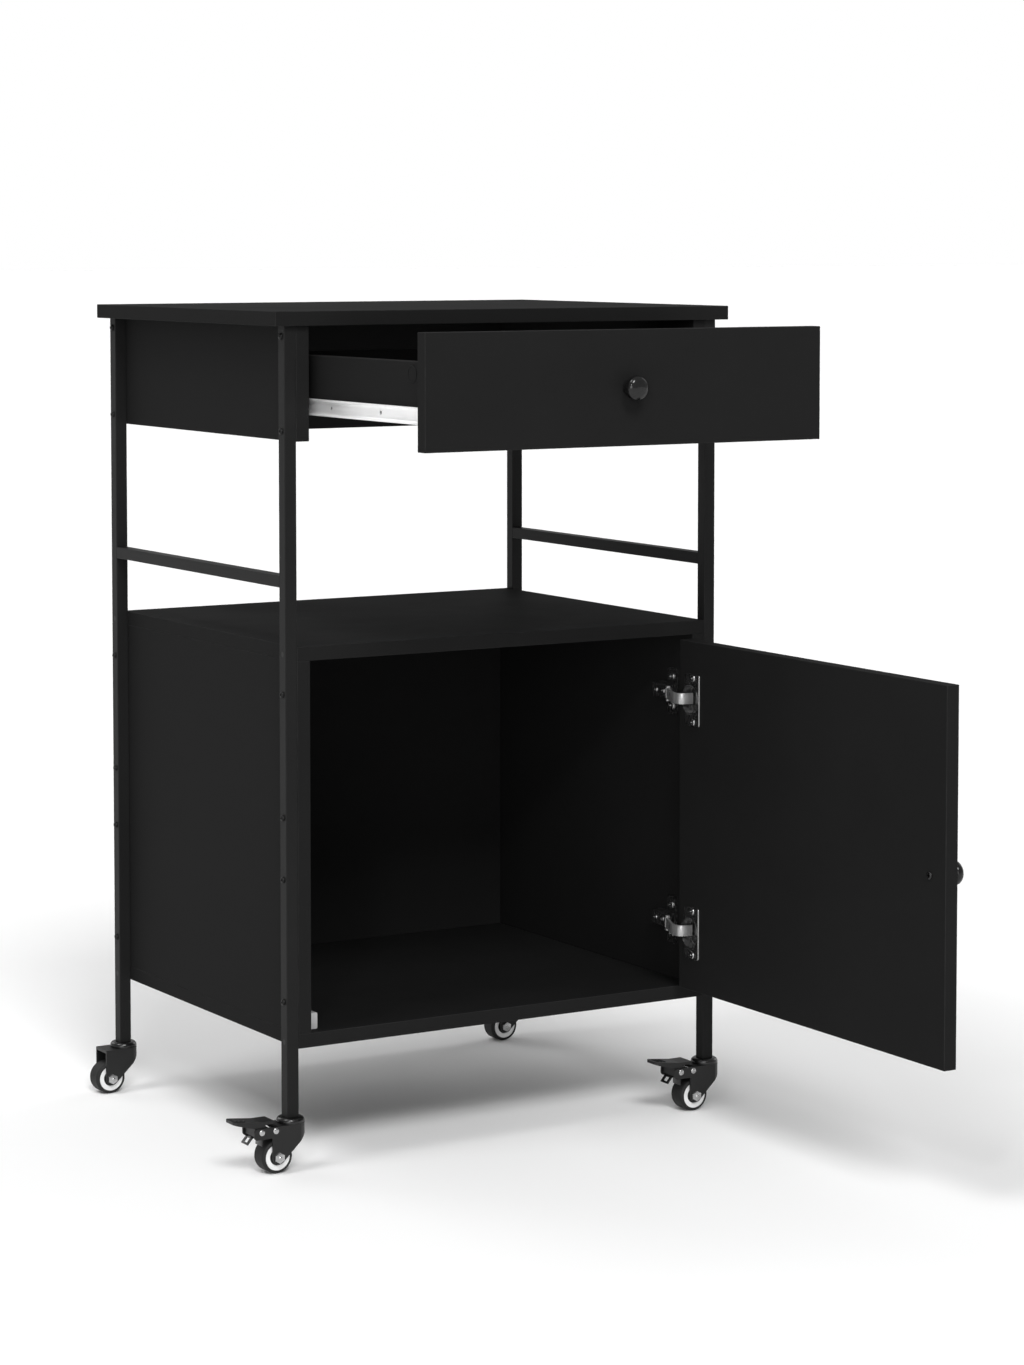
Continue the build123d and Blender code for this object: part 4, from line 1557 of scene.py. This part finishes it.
@dataclass
class Studio:
    """A plain pale floor, soft light, and the camera at the photograph's viewing angle.

    The camera's angles are in degrees and its lens in millimetres.
    """

    camera_place: Triple = (-1.9594, -3.4576, 0.9647)
    camera_yaw: float = 31.168
    camera_pitch: float = 3.892
    camera_lens: float = 95.11
    camera_shift: float = -0.15
    floor_reach: float = 160.0
    floor_tone: float = 0.96
    floor_rough: float = 0.9
    sky_light: float = 0.4

    LIGHTS = (
        Sun("key", heading=(0.50, 0.05, -0.86), strength=0.8, spread=22.0),
        Sun("front", heading=(0.20, 0.70, -0.68), strength=1.6, spread=20.0),
        Sun("low", heading=(0.62, 0.78, -0.08), strength=0.85, spread=30.0),
        Sun("rear", heading=(0.25, -0.80, -0.55), strength=0.4, spread=30.0),
        Sun("right", heading=(-0.90, -0.20, -0.38), strength=0.35, spread=30.0),
        Panel("window", place=(-1.9, -2.4, 2.1), target=(0.0, -0.2, 0.6), size=0.2, power=10.0),
    )

    def build(self) -> None:
        """Sets up the studio."""
        bpy.context.scene.view_settings.view_transform = "Standard"
        self._floor()
        self._sky()
        for light in self.LIGHTS:
            light.add()
        self._camera()

    def _floor(self) -> None:
        """Lays the floor."""
        Bench.take()
        bpy.ops.mesh.primitive_plane_add(size=self.floor_reach)
        floor = bpy.context.active_object
        floor.name = "studio_floor"
        made, _, shader = blank_material("pale_floor")
        shader.inputs["Base Color"].default_value = grey(self.floor_tone)
        shader.inputs["Roughness"].default_value = self.floor_rough
        shader.inputs["Specular IOR Level"].default_value = 0.0
        floor.data.materials.append(made)

    def _sky(self) -> None:
        """Gives the studio its even light, with a white backdrop."""
        world = bpy.data.worlds.new("studio")
        bpy.context.scene.world = world
        world.use_nodes = True
        graph = Graph(world.node_tree)
        even = world.node_tree.nodes["Background"]
        even.inputs["Color"].default_value = grey(1.0)
        even.inputs["Strength"].default_value = self.sky_light
        white = graph.add("ShaderNodeBackground", Color=grey(1.0), Strength=1.0)
        mix = graph.add("ShaderNodeMixShader")
        graph.link(graph.add("ShaderNodeLightPath").outputs["Is Camera Ray"], mix.inputs[0])
        graph.link(even.outputs[0], mix.inputs[1])
        graph.link(white.outputs[0], mix.inputs[2])
        graph.link(mix.outputs[0], world.node_tree.nodes["World Output"].inputs["Surface"])

    def _camera(self) -> None:
        """Sets up the camera."""
        angles = (90.0 - self.camera_pitch, 0.0, -self.camera_yaw)
        turn = Euler([math.radians(angle) for angle in angles])
        bpy.ops.object.camera_add(location=self.camera_place, rotation=turn)
        camera = bpy.context.active_object
        camera.name = "photo_view"
        camera.data.lens = self.camera_lens
        camera.data.shift_y = self.camera_shift
        bpy.context.scene.camera = camera


def main() -> None:
    """Dresses the trolley piece by piece."""
    logging.basicConfig(level=logging.INFO, format="%(name)s: %(message)s")
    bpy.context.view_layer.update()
    finishes = Finishes()
    knobs = Knobs(finishes)
    Carcass(finishes).build()
    Drawer(finishes, knobs).build()
    Door(finishes, knobs).build()
    Bench.discard(knobs.pattern)
    ConcealedHinges(finishes).build()
    Castors(finishes).build()
    Studio().build()
    bpy.context.view_layer.update()


if __name__ == "__main__":
    main()
